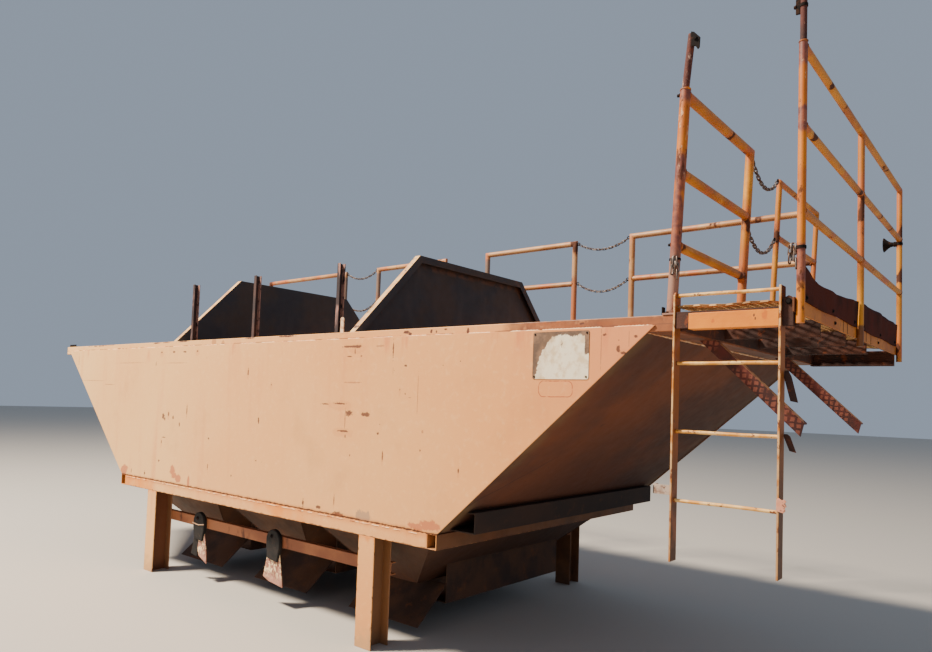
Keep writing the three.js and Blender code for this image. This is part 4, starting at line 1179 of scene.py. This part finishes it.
boot_half = 0.08
for side in ("left", "right"):
    low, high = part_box(f"{side}_hanger")
    centre = (low.x + high.x) / 2
    foot_half = (high.x - low.x) / 2
    boot_edge = [(-0.062, 0.335), (0.058, 0.32), (boot_half, 0.42)]
    boot_edge += [*arc(0, high.z - boot_half, boot_half, 0, 180, 10), (-boot_half, 0.43)]
    boot = hung(f"{side}_boot", centre, boot_coat, boot_edge, low.y - 0.012, high.y - 0.0005, 50)
    ease(boot, 0.008, 3, 40)
    flap_edge = [
        (-0.07, 0.38), (-foot_half, low.z + 0.045), (-foot_half * 0.4, low.z + 0.02),
        (foot_half * 0.2, low.z + 0.012), (foot_half, low.z), (0.068, 0.38),
    ]
    # Painted shadow: the left flap is cut narrower, leaving room for a black strip that stands for the left
    # leg's shadow.
    if side == "left":
        flap_edge = [
            (0.0, 0.4), (-0.02, low.z + 0.1), (0.0, low.z + 0.05),
            (foot_half, low.z), (foot_half * 0.9, 0.26), (0.066, 0.4),
        ]
    flap_face = low.y + 0.003
    stood_for = (f"{side}_hanger",)
    flap = hung(f"{side}_flap", centre, flake_coat, flap_edge, flap_face, flap_face + 0.008, 40, stood_for)
    ease(flap, 0.002)
    if side == "left":
        # Painted shadow: the black strip down the left of this plate.
        shadow_edge = [(-0.066, 0.4), (-foot_half, low.z + 0.05), (-0.03, low.z + 0.035), (-0.004, 0.4)]
        ease(hung("left_hanger_painted_shadow", centre, boot_coat, shadow_edge, low.y + 0.005, low.y + 0.012), 0.002)
        tie_edge = [(-0.084, 0.452), (0, 0.444), (0.084, 0.456), (0.084, 0.463), (0, 0.451), (-0.084, 0.46)]
        ease(hung("left_tie", centre, tab_coat, tie_edge, low.y - 0.0155, low.y - 0.0115), 0.001)
    hanger_bolts = bmesh.new()
    bolt(hanger_bolts, (centre - 0.012, low.y - 0.012, 0.5), -northward, 0.017, 0.007, 0.014)
    fasten(f"{side}_hanger_bolts", hanger_bolts, black_coat, 40)

# Platform frame
# Flat bars and joists carry the expanded metal; a channel closes the far end and a board crosses the front.
# The outer bar is faded beige-orange, the channel and joists are dark rust, and the board is bright enamel.
inner_x = 3.2706 + middle
outer_face = 3.782 + middle
bar = 0.008
bar_face = outer_face - bar - 0.0003
channel_end = outer_face - bar - 0.0005
joist_end = outer_face - 0.05
paint = Finish("platform_bar_paint")
paint.base(tint(190, 130, 86), tint(166, 108, 74), 3.5, 5, seed=2.4)
paint.over(tint(128, 84, 62), paint.cloud(9, 6, (1, 1, 0.5), seed=5.1, rough=0.66).ramp(0.56, 0.7) * 0.8)
rusty_end = paint.y.ramp(-1.14, -1.17)
spots = paint.cloud(26, 5, seed=7.7, rough=0.7).ramp(0.62, 0.68)
paint.over(rust_dark, spots.most(rusty_end * 0.9))
bar_coat = paint.coat(0.65, paint.cloud(70, 5, seed=1.7), 0.002)
paint = Finish("dark_rust")
paint.base(tint(70, 44, 36), tint(46, 32, 30), 5, 5, seed=2.7)
paint.over(tint(120, 70, 50), paint.cloud(16, 6, seed=8.4, rough=0.7).ramp(0.56, 0.68) * 0.8)
dark_coat = paint.coat(0.85, paint.cloud(80, 6, seed=3.9, rough=0.7), 0.003)
outer_bar = bmesh.new()
front_y, back_y = -1.22, 1.18
bar_low = 1.926
block(outer_bar, (outer_face - bar, front_y, bar_low), (outer_face, back_y, 1.986))
ease(fasten("platform_outer_bar", outer_bar, bar_coat, 40, ("platform_frame",)), 0.0015)
dark_bars = bmesh.new()
block(dark_bars, (joist_end, front_y + 0.07, 1.945), (bar_face, back_y - 0.01, 1.951))
block(dark_bars, (inner_x, front_y + 0.07, 1.874), (inner_x + bar, back_y, 1.9515))
block(dark_bars, (inner_x, back_y - 0.008, 1.853), (channel_end, back_y, 1.951))
block(dark_bars, (inner_x, back_y - 0.06, 1.853), (channel_end, back_y - 0.0075, 1.861))
block(dark_bars, (inner_x, back_y - 0.06, 1.943), (channel_end, back_y - 0.0075, 1.951))
joists = (-0.588, -0.048, 0.492)
for joist in joists:
    block(dark_bars, (inner_x + bar, joist, 1.885), (joist_end, joist + bar, 1.966))
    block(dark_bars, (inner_x + bar, joist + bar - 0.0005, 1.885), (joist_end, joist + 0.04, 1.892))
# Painted shadow: the board stops short of the ladder's left bar; the dark bar behind it shows in the gap as
# that bar's shadow.
board_left, board_right = 3.342 + middle, 3.7218 + middle
board_low, board_high, board_back = 1.871, 1.942, front_y + 0.06
block(dark_bars, (3.2797 + middle, front_y + 0.006, 1.876), (board_right, front_y + 0.013, 1.9505))
block(dark_bars, (3.2797 + middle, front_y + 0.07, 1.876), (bar_face, front_y + 0.078, 1.9505))
bracket_low, bracket_high = 3.7318 + middle, outer_face - bar - 0.0004
bracket_edge = [
    (bracket_low, 1.872), (bracket_high, 1.872), (bracket_high, 1.978), (bracket_high - 0.008, 1.992),
    (bracket_high - 0.02, 1.997), (bracket_high - 0.032, 1.99), (bracket_low, 1.99),
]
plate_of(dark_bars, bracket_edge, 1, -1.2, -1.193)
ease(fasten("platform_dark_bars", dark_bars, dark_coat, 40), 0.0015)
paint = Finish("board_enamel")
paint.base(tint(218, 146, 40), tint(200, 126, 32), 3, 5, seed=5.6, high=0.65)
worn_patches = paint.cloud(9, 6, (1, 1, 0.6), seed=3.2, rough=0.65).ramp(0.58, 0.72)
paint.over(tint(190, 110, 54), worn_patches * 0.7)
paint.over(chipped, paint.marks([(3.624, 1.919, 0.006, 0.014), (3.629, 1.906, 0.006, 0.012)], 0.5, 90))
board_rust = paint.marks([(3.666, 1.92, 0.03, 0.05), (3.452, 1.905, 0.016, 0.02)], 0.7, 40)
paint.over(tint(184, 106, 58), board_rust * 0.7)
board_coat = paint.coat(0.5, paint.cloud(50, 4, seed=6.8), 0.0015)
board = bmesh.new()
block(board, (board_left, front_y + 0.0005, board_low), (board_right, front_y + 0.0055, board_high))
for z in (board_high - 0.005, board_low):
    block(board, (board_left, front_y + 0.005, z), (board_right, board_back, z + 0.005))
ease(fasten("platform_board", board, board_coat, 40), 0.0015)
# Painted shadow: four thin dark bars across the outer bar stand for dark shadow lines on it.
dark_strips = bmesh.new()
for y in (-0.36, -0.27, 0.2, 0.33):
    block(dark_strips, (outer_face + 0.0002, y, bar_low), (outer_face + 0.0012, y + 0.007, 1.988))
fasten("platform_shadow_lines", dark_strips, dark_coat, 40)
platform_bolts = bmesh.new()
bolt(platform_bolts, (bracket_low + 0.024, -1.2, 1.972), -northward, 0.017, 0.007, 0.013)
for joist in joists:
    bolt(platform_bolts, (outer_face, joist + 0.054, 1.953), eastward, 0.012, 0.005, 0.009)

# Platform grating
# Expanded metal lying on the bars: strands slit and stretched into diamonds that run across the platform.
# Rusty all over and painted pale, partly as painted light for the sun on the strands; their undersides are
# painted darker as painted shade.
strand_step = 0.0155
strand_swing = 0.0062
knot_step = 0.036
strand_thick = 0.0032
strand_tall = 0.009
strand_lap = 0.003
mesh_z = 1.977
paint = Finish("grating_rust")
# Partly painted light: the pale strand colours stand for sunlit strands.
paint.base(tint(176, 146, 112), tint(134, 104, 80), 7, 5, seed=4.8)
paint.over(tint(190, 154, 118), paint.cloud(18, 6, seed=6.9, rough=0.68).ramp(0.52, 0.68))
# Painted shade: faces turned downwards are painted darker.
painted_shade_under = paint.normal_z.ramp(-0.5, -0.8)
paint.over(tint(104, 78, 60), painted_shade_under * 0.5)
mesh_coat = paint.coat(0.85, paint.cloud(120, 5, seed=5.2), 0.0015)
sheet = bmesh.new()
left_x, right_x = inner_x + 0.006, outer_face - bar - 0.004
stile_x = 3.7268 + middle
near_y, far_y = -1.198, 1.17
strands = int((far_y - near_y) / strand_step)
knots = int((right_x - left_x) / knot_step)
for number in range(strands):
    base_y = near_y + strand_step * (number + 0.5)
    for k in range(knots):
        if number < 2 and abs(left_x + knot_step * (k + 0.5) - stile_x) < 0.04:
            continue
        swing = strand_swing if (number + k) % 2 else -strand_swing
        sag = 0.003 * math.sin(number * 0.11) + 0.0025 * math.sin(k * 0.8 + number * 0.05)
        next_sag = 0.003 * math.sin(number * 0.11) + 0.0025 * math.sin((k + 1) * 0.8 + number * 0.05)
        start = Vector((left_x + knot_step * k, base_y - swing, mesh_z + sag))
        end = Vector((left_x + knot_step * (k + 1), base_y + swing, mesh_z + next_sag))
        along = (end - start).normalized()
        flat_side = along.cross(upright).normalized()
        twist = 0.5 if swing > 0 else -0.5
        tall_side = upright * math.cos(twist) + flat_side * math.sin(twist)
        wide_side = along.cross(tall_side).normalized()
        wide_side *= strand_thick / 2
        tall_side *= strand_tall / 2
        sides = (-wide_side - tall_side, wide_side - tall_side, wide_side + tall_side, tall_side - wide_side)
        ends = (start - along * strand_lap, end + along * strand_lap)
        skin(sheet, [[place + side for side in sides] for place in ends])
fasten("grating_mesh", sheet, mesh_coat, 30, ("platform_grating",))

# Splash belts
# Strips of old conveyor belt bolted to the outside of the platform; they sag and wave between their bolts.
# Maroon-brown rubber with pale scuffs, dust and cut edges.
paint = Finish("belt_rubber")
paint.base(tint(76, 42, 36), tint(56, 34, 30), 3.6, 5, seed=4.1)
paint.over(tint(86, 44, 40), paint.cloud(6, 5, (1, 1, 2), seed=7.5).ramp(0.54, 0.7) * 0.7)
dusty = paint.cloud(22, 6, (1, 1, 0.3), seed=2.5, rough=0.7).ramp(0.62, 0.72)
paint.over(tint(110, 80, 64), dusty * 0.3)
cracks = paint.cloud(16, 5, (1, 1, 0.08), seed=9.4, rough=0.7).ramp(0.64, 0.68)
paint.over(tint(40, 26, 24), cracks * 0.6)
edge_dust = (paint.z + paint.waver(0.03, 30, 5, seed=6.2)).ramp(2.1, 2.122)
paint.over(tint(52, 36, 38), edge_dust * 0.7)
belt_coat = paint.coat(0.92, paint.cloud(34, 5, seed=3.7), 0.003, shine=0.12)
belt_thick = 0.008
belt_tops = {
    "front": [
        (-1.165, 2.15), (-1.11, 2.121), (-0.99, 2.099), (-0.88, 2.088),
        (-0.6, 2.086), (-0.3, 2.101), (-0.07, 2.119),
    ],
    "rear": [(-0.02, 2.119), (0.1, 2.12), (0.35, 2.126), (0.61, 2.126), (0.85, 2.121), (1.13, 2.123)],
}
for name, tops in belt_tops.items():
    columns, rows = 44, 8
    start_y, end_y = tops[0][0], tops[-1][0]
    belt = bmesh.new()
    rings = []
    for i in range(columns + 1):
        share = i / columns
        y = start_y + (end_y - start_y) * share
        for (y_a, z_a), (y_b, z_b) in zip(tops, tops[1:]):
            if y_a <= y <= y_b + 0.0001:
                blend_in = (y - y_a) / (y_b - y_a)
                top = z_a + (z_b - z_a) * blend_in
        top += 0.0015 * math.sin(share * 17)
        bottom = 1.982 + 0.003 * math.sin(share * 11 + 1.0)
        line = []
        for j in range(rows + 1):
            rise = j / rows
            wave = 0.0045 * math.sin(share * 9.5 + 0.6) * rise ** 1.5 + 0.003 * math.sin(share * 23) * rise
            line.append((outer_face + 0.0012 + abs(wave), y, bottom + (top - bottom) * rise))
        rings.append(line + [(x + belt_thick, y, z) for x, y, z in reversed(line)])
    skin(belt, rings)
    fasten(f"{name}_belt", belt, belt_coat, 40, (f"{name}_splash_belt",))
    for share in (0.08, 0.5, 0.93):
        y = start_y + (end_y - start_y) * share
        bolt(platform_bolts, (outer_face + 0.0015 + belt_thick, y, 2.0), eastward, 0.01, 0.004, 0.01)
fasten("platform_bolts", platform_bolts, black_coat, 40)

# Braces
# Two angles that slope down from under the end rim; their lower ends hang free.
# Dark red-brown primer; pinkish patches in crossing rows are painted light, the sun falling through the
# grating, and the upper faces carry a painted highlight.
paint = Finish("brace_primer")
paint.base(tint(84, 44, 40), tint(60, 36, 34), 6, 5, seed=3.3)
# Painted light: crossing rows of pinkish patches stand for sunlight through the grating.
along_brace = paint.x * 0.726 - paint.z * 0.688
over_brace = paint.x * 0.688 + paint.z * 0.726 + paint.waver(0.02, 30, 3, seed=7.9)
first_beat = paint.x.math("PINGPONG", along_brace + over_brace * 0.7, 0.019)
second_beat = paint.x.math("PINGPONG", along_brace - over_brace * 1.3, 0.024)
pale_patches = first_beat.ramp(0.006, 0.009) * second_beat.ramp(0.006, 0.009)
pale_patches = pale_patches * paint.cloud(7, 4, seed=6.4).ramp(0.36, 0.5)
paint.over(tint(140, 92, 80), pale_patches * 0.7)
paint.over(rust_dark, paint.cloud(40, 5, seed=1.4, rough=0.7).ramp(0.6, 0.66))
# Painted highlight: faces turned upwards are painted pale tan.
lit_top = paint.normal_z.ramp(0.4, 0.6) * paint.cloud(20, 4, seed=5.1).ramp(0.35, 0.5)
paint.over(tint(178, 138, 108), lit_top * 0.8)
brace_coat = paint.coat(0.75, paint.cloud(80, 5, seed=2.1), 0.002)
dress(brace_coat, 0.001, "front_brace", "rear_brace")

# Ladder
# Two flat bars on edge with round rungs welded between them; lugs near its foot, which is above the ground.
# Orange paint worn to brown low down; the bars' front edges carry a painted highlight, and the rungs are
# pale cream.
ladder_low, ladder_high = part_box("ladder")
left_bar, right_bar = 3.2703 + middle, 3.7313 + middle
bar_thick = 0.009
ladder_top, ladder_foot = ladder_high.z, ladder_low.z
bar_front, bar_back = -1.22, -1.156
paint = Finish("ladder_bar_paint")
drifting = paint.z + paint.waver(0.8, 3, 4, seed=2.6)
paint.colour = paint.blend(tint(88, 66, 54), tint(142, 90, 52), drifting.ramp(1.0, 1.55))
paint.over(tint(150, 104, 84), paint.cloud(7, 5, seed=4.4).ramp(0.5, 0.66) * 0.7)
paint.over(rust_dark, paint.cloud(26, 6, seed=6.1, rough=0.7).ramp(0.63, 0.68))
flecks = paint.cloud(46, 6, (1, 1, 0.5), seed=1.3, rough=0.7)
# Painted highlight: the bars' front edges are painted pale, flecked with rust and duller low down.
edge_colour = paint.mottle(tint(204, 170, 134), tint(182, 126, 82), 16, 5, seed=8.8, low=0.45)
edge_colour = paint.blend(edge_colour, tint(110, 66, 46), flecks.ramp(0.57, 0.61))
edge_colour = paint.blend(edge_colour, tint(128, 92, 72), drifting.ramp(1.5, 0.95) * 0.5)
front_edge = paint.y.ramp(bar_front + 0.0022, bar_front + 0.0008)
dark_top = paint.z.ramp(1.84, 1.9) * paint.x.ramp(right_bar - 0.02, right_bar - 0.015)
paint.over(tint(72, 50, 42), dark_top * 0.85)
paint.over(edge_colour, front_edge)
ladder_coat = paint.coat(0.6, paint.cloud(90, 5, seed=3.8), 0.0015)
paint = Finish("ladder_rung_paint")
paint.base(tint(226, 192, 144), tint(200, 148, 96), 12, 5, seed=5.7, low=0.42)
paint.over(tint(116, 70, 48), paint.cloud(40, 6, seed=2.9, rough=0.7).ramp(0.58, 0.63))
rung_coat = paint.coat(0.55, paint.cloud(120, 4, seed=7.7), 0.001)
bars = bmesh.new()
corners = [(bar_back, ladder_top), (bar_back, ladder_foot), (bar_front, ladder_foot)]
clipped = [(bar_front + 0.012, ladder_top), *corners, (bar_front, ladder_top - 0.014)]
plate_of(bars, clipped, 0, left_bar, left_bar + bar_thick)
plate_of(bars, [(bar_front, ladder_top), *corners], 0, right_bar - bar_thick, right_bar)
ease(fasten("ladder_bars", bars, ladder_coat, 40, ("ladder",)), 0.0015)
rungs = bmesh.new()
rung_welds = bmesh.new()
rung_y = -1.188
rung_heights = (2.027, 1.7222, 1.4174, 1.1126)
rung_radius = 0.0079
for z in rung_heights:
    points = []
    for step in range(17):
        share = step / 16
        x = left_bar + bar_thick - 0.001 + (right_bar - left_bar - 2 * bar_thick + 0.002) * share
        points.append(Vector((x, rung_y, z + 0.0008 * math.sin(share * 7 + z * 9))))
    sweep(rungs, points, rung_radius, 14)
    for x in (left_bar + bar_thick + 0.001, right_bar - bar_thick - 0.001):
        ring = circle(Vector((x, rung_y, z)), northward, upright, rung_radius + 0.0003, 14)
        sweep(rung_welds, ring, [0.0028 * random.uniform(0.8, 1.3) for _ in ring], 6, closed=True)
fasten("ladder_rungs", rungs, rung_coat, 50)
fasten("ladder_welds", rung_welds, bead_coat, 60)
paint = Finish("lug_paint")
paint.base(tint(176, 160, 148), tint(132, 110, 98), 26, 5, seed=3.1, low=0.42, high=0.6)
paint.over(tint(206, 150, 130), paint.x.ramp(3.1, 3.4) * 0.8)
paint.over(tint(84, 56, 46), paint.cloud(44, 6, seed=5.9, rough=0.7).ramp(0.57, 0.63))
lug_coat = paint.coat(0.75, paint.cloud(90, 5), 0.002)
lugs = bmesh.new()
lug_x = 3.19 + middle
lug_end = left_bar - 0.0005
lug_edge = [(lug_x, 1.135), (lug_end, 1.135), (lug_end, 1.178), (lug_x + 0.006, 1.178), (lug_x, 1.17)]
plate_of(lugs, lug_edge, 1, -1.214, -1.208)
block(lugs, (lug_x, -1.214, 1.135), (lug_x + 0.0057, -1.17, 1.178))
ragged_edge = [
    (-0.009, 1.121), (0.019, 1.115), (0.027, 1.124), (0.024, 1.136), (0.031, 1.142), (0.025, 1.156),
    (0.03, 1.162), (0.023, 1.17), (0.012, 1.166), (0.001, 1.174), (-0.009, 1.168),
]
ragged_edge = [(right_bar + x, z) for x, z in ragged_edge]
plate_of(lugs, ragged_edge, 1, bar_front - 0.0045, bar_front - 0.0003)
ease(fasten("ladder_lugs", lugs, lug_coat, 40), 0.001)
dark_strips = bmesh.new()
strap_x = right_bar + 0.0025
for top_z, foot_z, reach, wide in ((1.69, 1.565, 0.0385, 0.03), (1.43, 1.362, 0.0355, 0.026)):
    top = Vector((strap_x, -1.17, top_z))
    foot = Vector((strap_x + reach, -1.17, foot_z))
    knee = top.lerp(foot, 0.3) + Vector((0.001, 0, 0.012))
    edge = []
    for spot, spread in ((top, 0.0), (knee, 0.5), (foot, 0.5)):
        edge.append((spot.x - wide * spread, spot.z))
    for spot, spread in ((foot, 0.5), (knee, 0.5), (top, 0.5)):
        edge.append((spot.x + wide * spread, spot.z - (0.006 if spot is foot else 0.0)))
    plate_of(dark_strips, edge, 1, top.y - 0.002, top.y + 0.002)
ease(fasten("ladder_straps", dark_strips, dark_coat, 40), 0.0008)

block(fittings, (middle - 3.245, -1.2, rim_high.z + 0.0003), (middle - 3.105, -1.13, rim_high.z + 0.006))
block(fittings, (middle - 3.245, -1.2, rim_high.z + 0.005), (middle - 3.105, -1.194, rim_high.z + 0.024))
fasten("rail_fittings", fittings, black_coat, 40)

# Studio
# A plain pale floor and a soft key light from the front and left, with a dim, even sky.
floor = bmesh.new()
floor_size = 60
floor.faces.new([floor.verts.new((x, y, 0)) for x, y in ((-1, -1), (1, -1), (1, 1), (-1, 1))])
bmesh.ops.scale(floor, vec=(floor_size, floor_size, 1), verts=floor.verts)
floor_mesh = bpy.data.meshes.new("floor")
floor.to_mesh(floor_mesh)
floor.free()
paint = Finish("floor_paint")
paint.colour = tint(186, 180, 172, 1)
floor_mesh.materials.append(paint.coat(0.9))
floor_piece = bpy.data.objects.new("floor", floor_mesh)
bpy.context.scene.collection.objects.link(floor_piece)
world = bpy.data.worlds.new("studio")
bpy.context.scene.world = world
world.use_nodes = True
sky = world.node_tree.nodes["Background"]
sky.inputs["Color"].default_value = (0.62, 0.74, 0.92, 1)
sky.inputs["Strength"].default_value = 0.46
aim = Vector((0, 0, 1.2))
for name, place, power, size, tone in (
    ("key_light", (-6, -8.5, 15), 8800, 2.2, (1, 0.87, 0.7)),
    ("fill_light", (2, -14, 4), 90, 6, (1, 0.95, 0.9)),
):
    lamp = bpy.data.lights.new(name, "AREA")
    lamp.energy = power
    lamp.size = size
    lamp.color = tone
    lamp_piece = bpy.data.objects.new(name, lamp)
    turn = (aim - Vector(place)).to_track_quat("-Z", "Y").to_matrix().to_4x4()
    lamp_piece.matrix_world = Matrix.Translation(place) @ turn
    bpy.context.scene.collection.objects.link(lamp_piece)
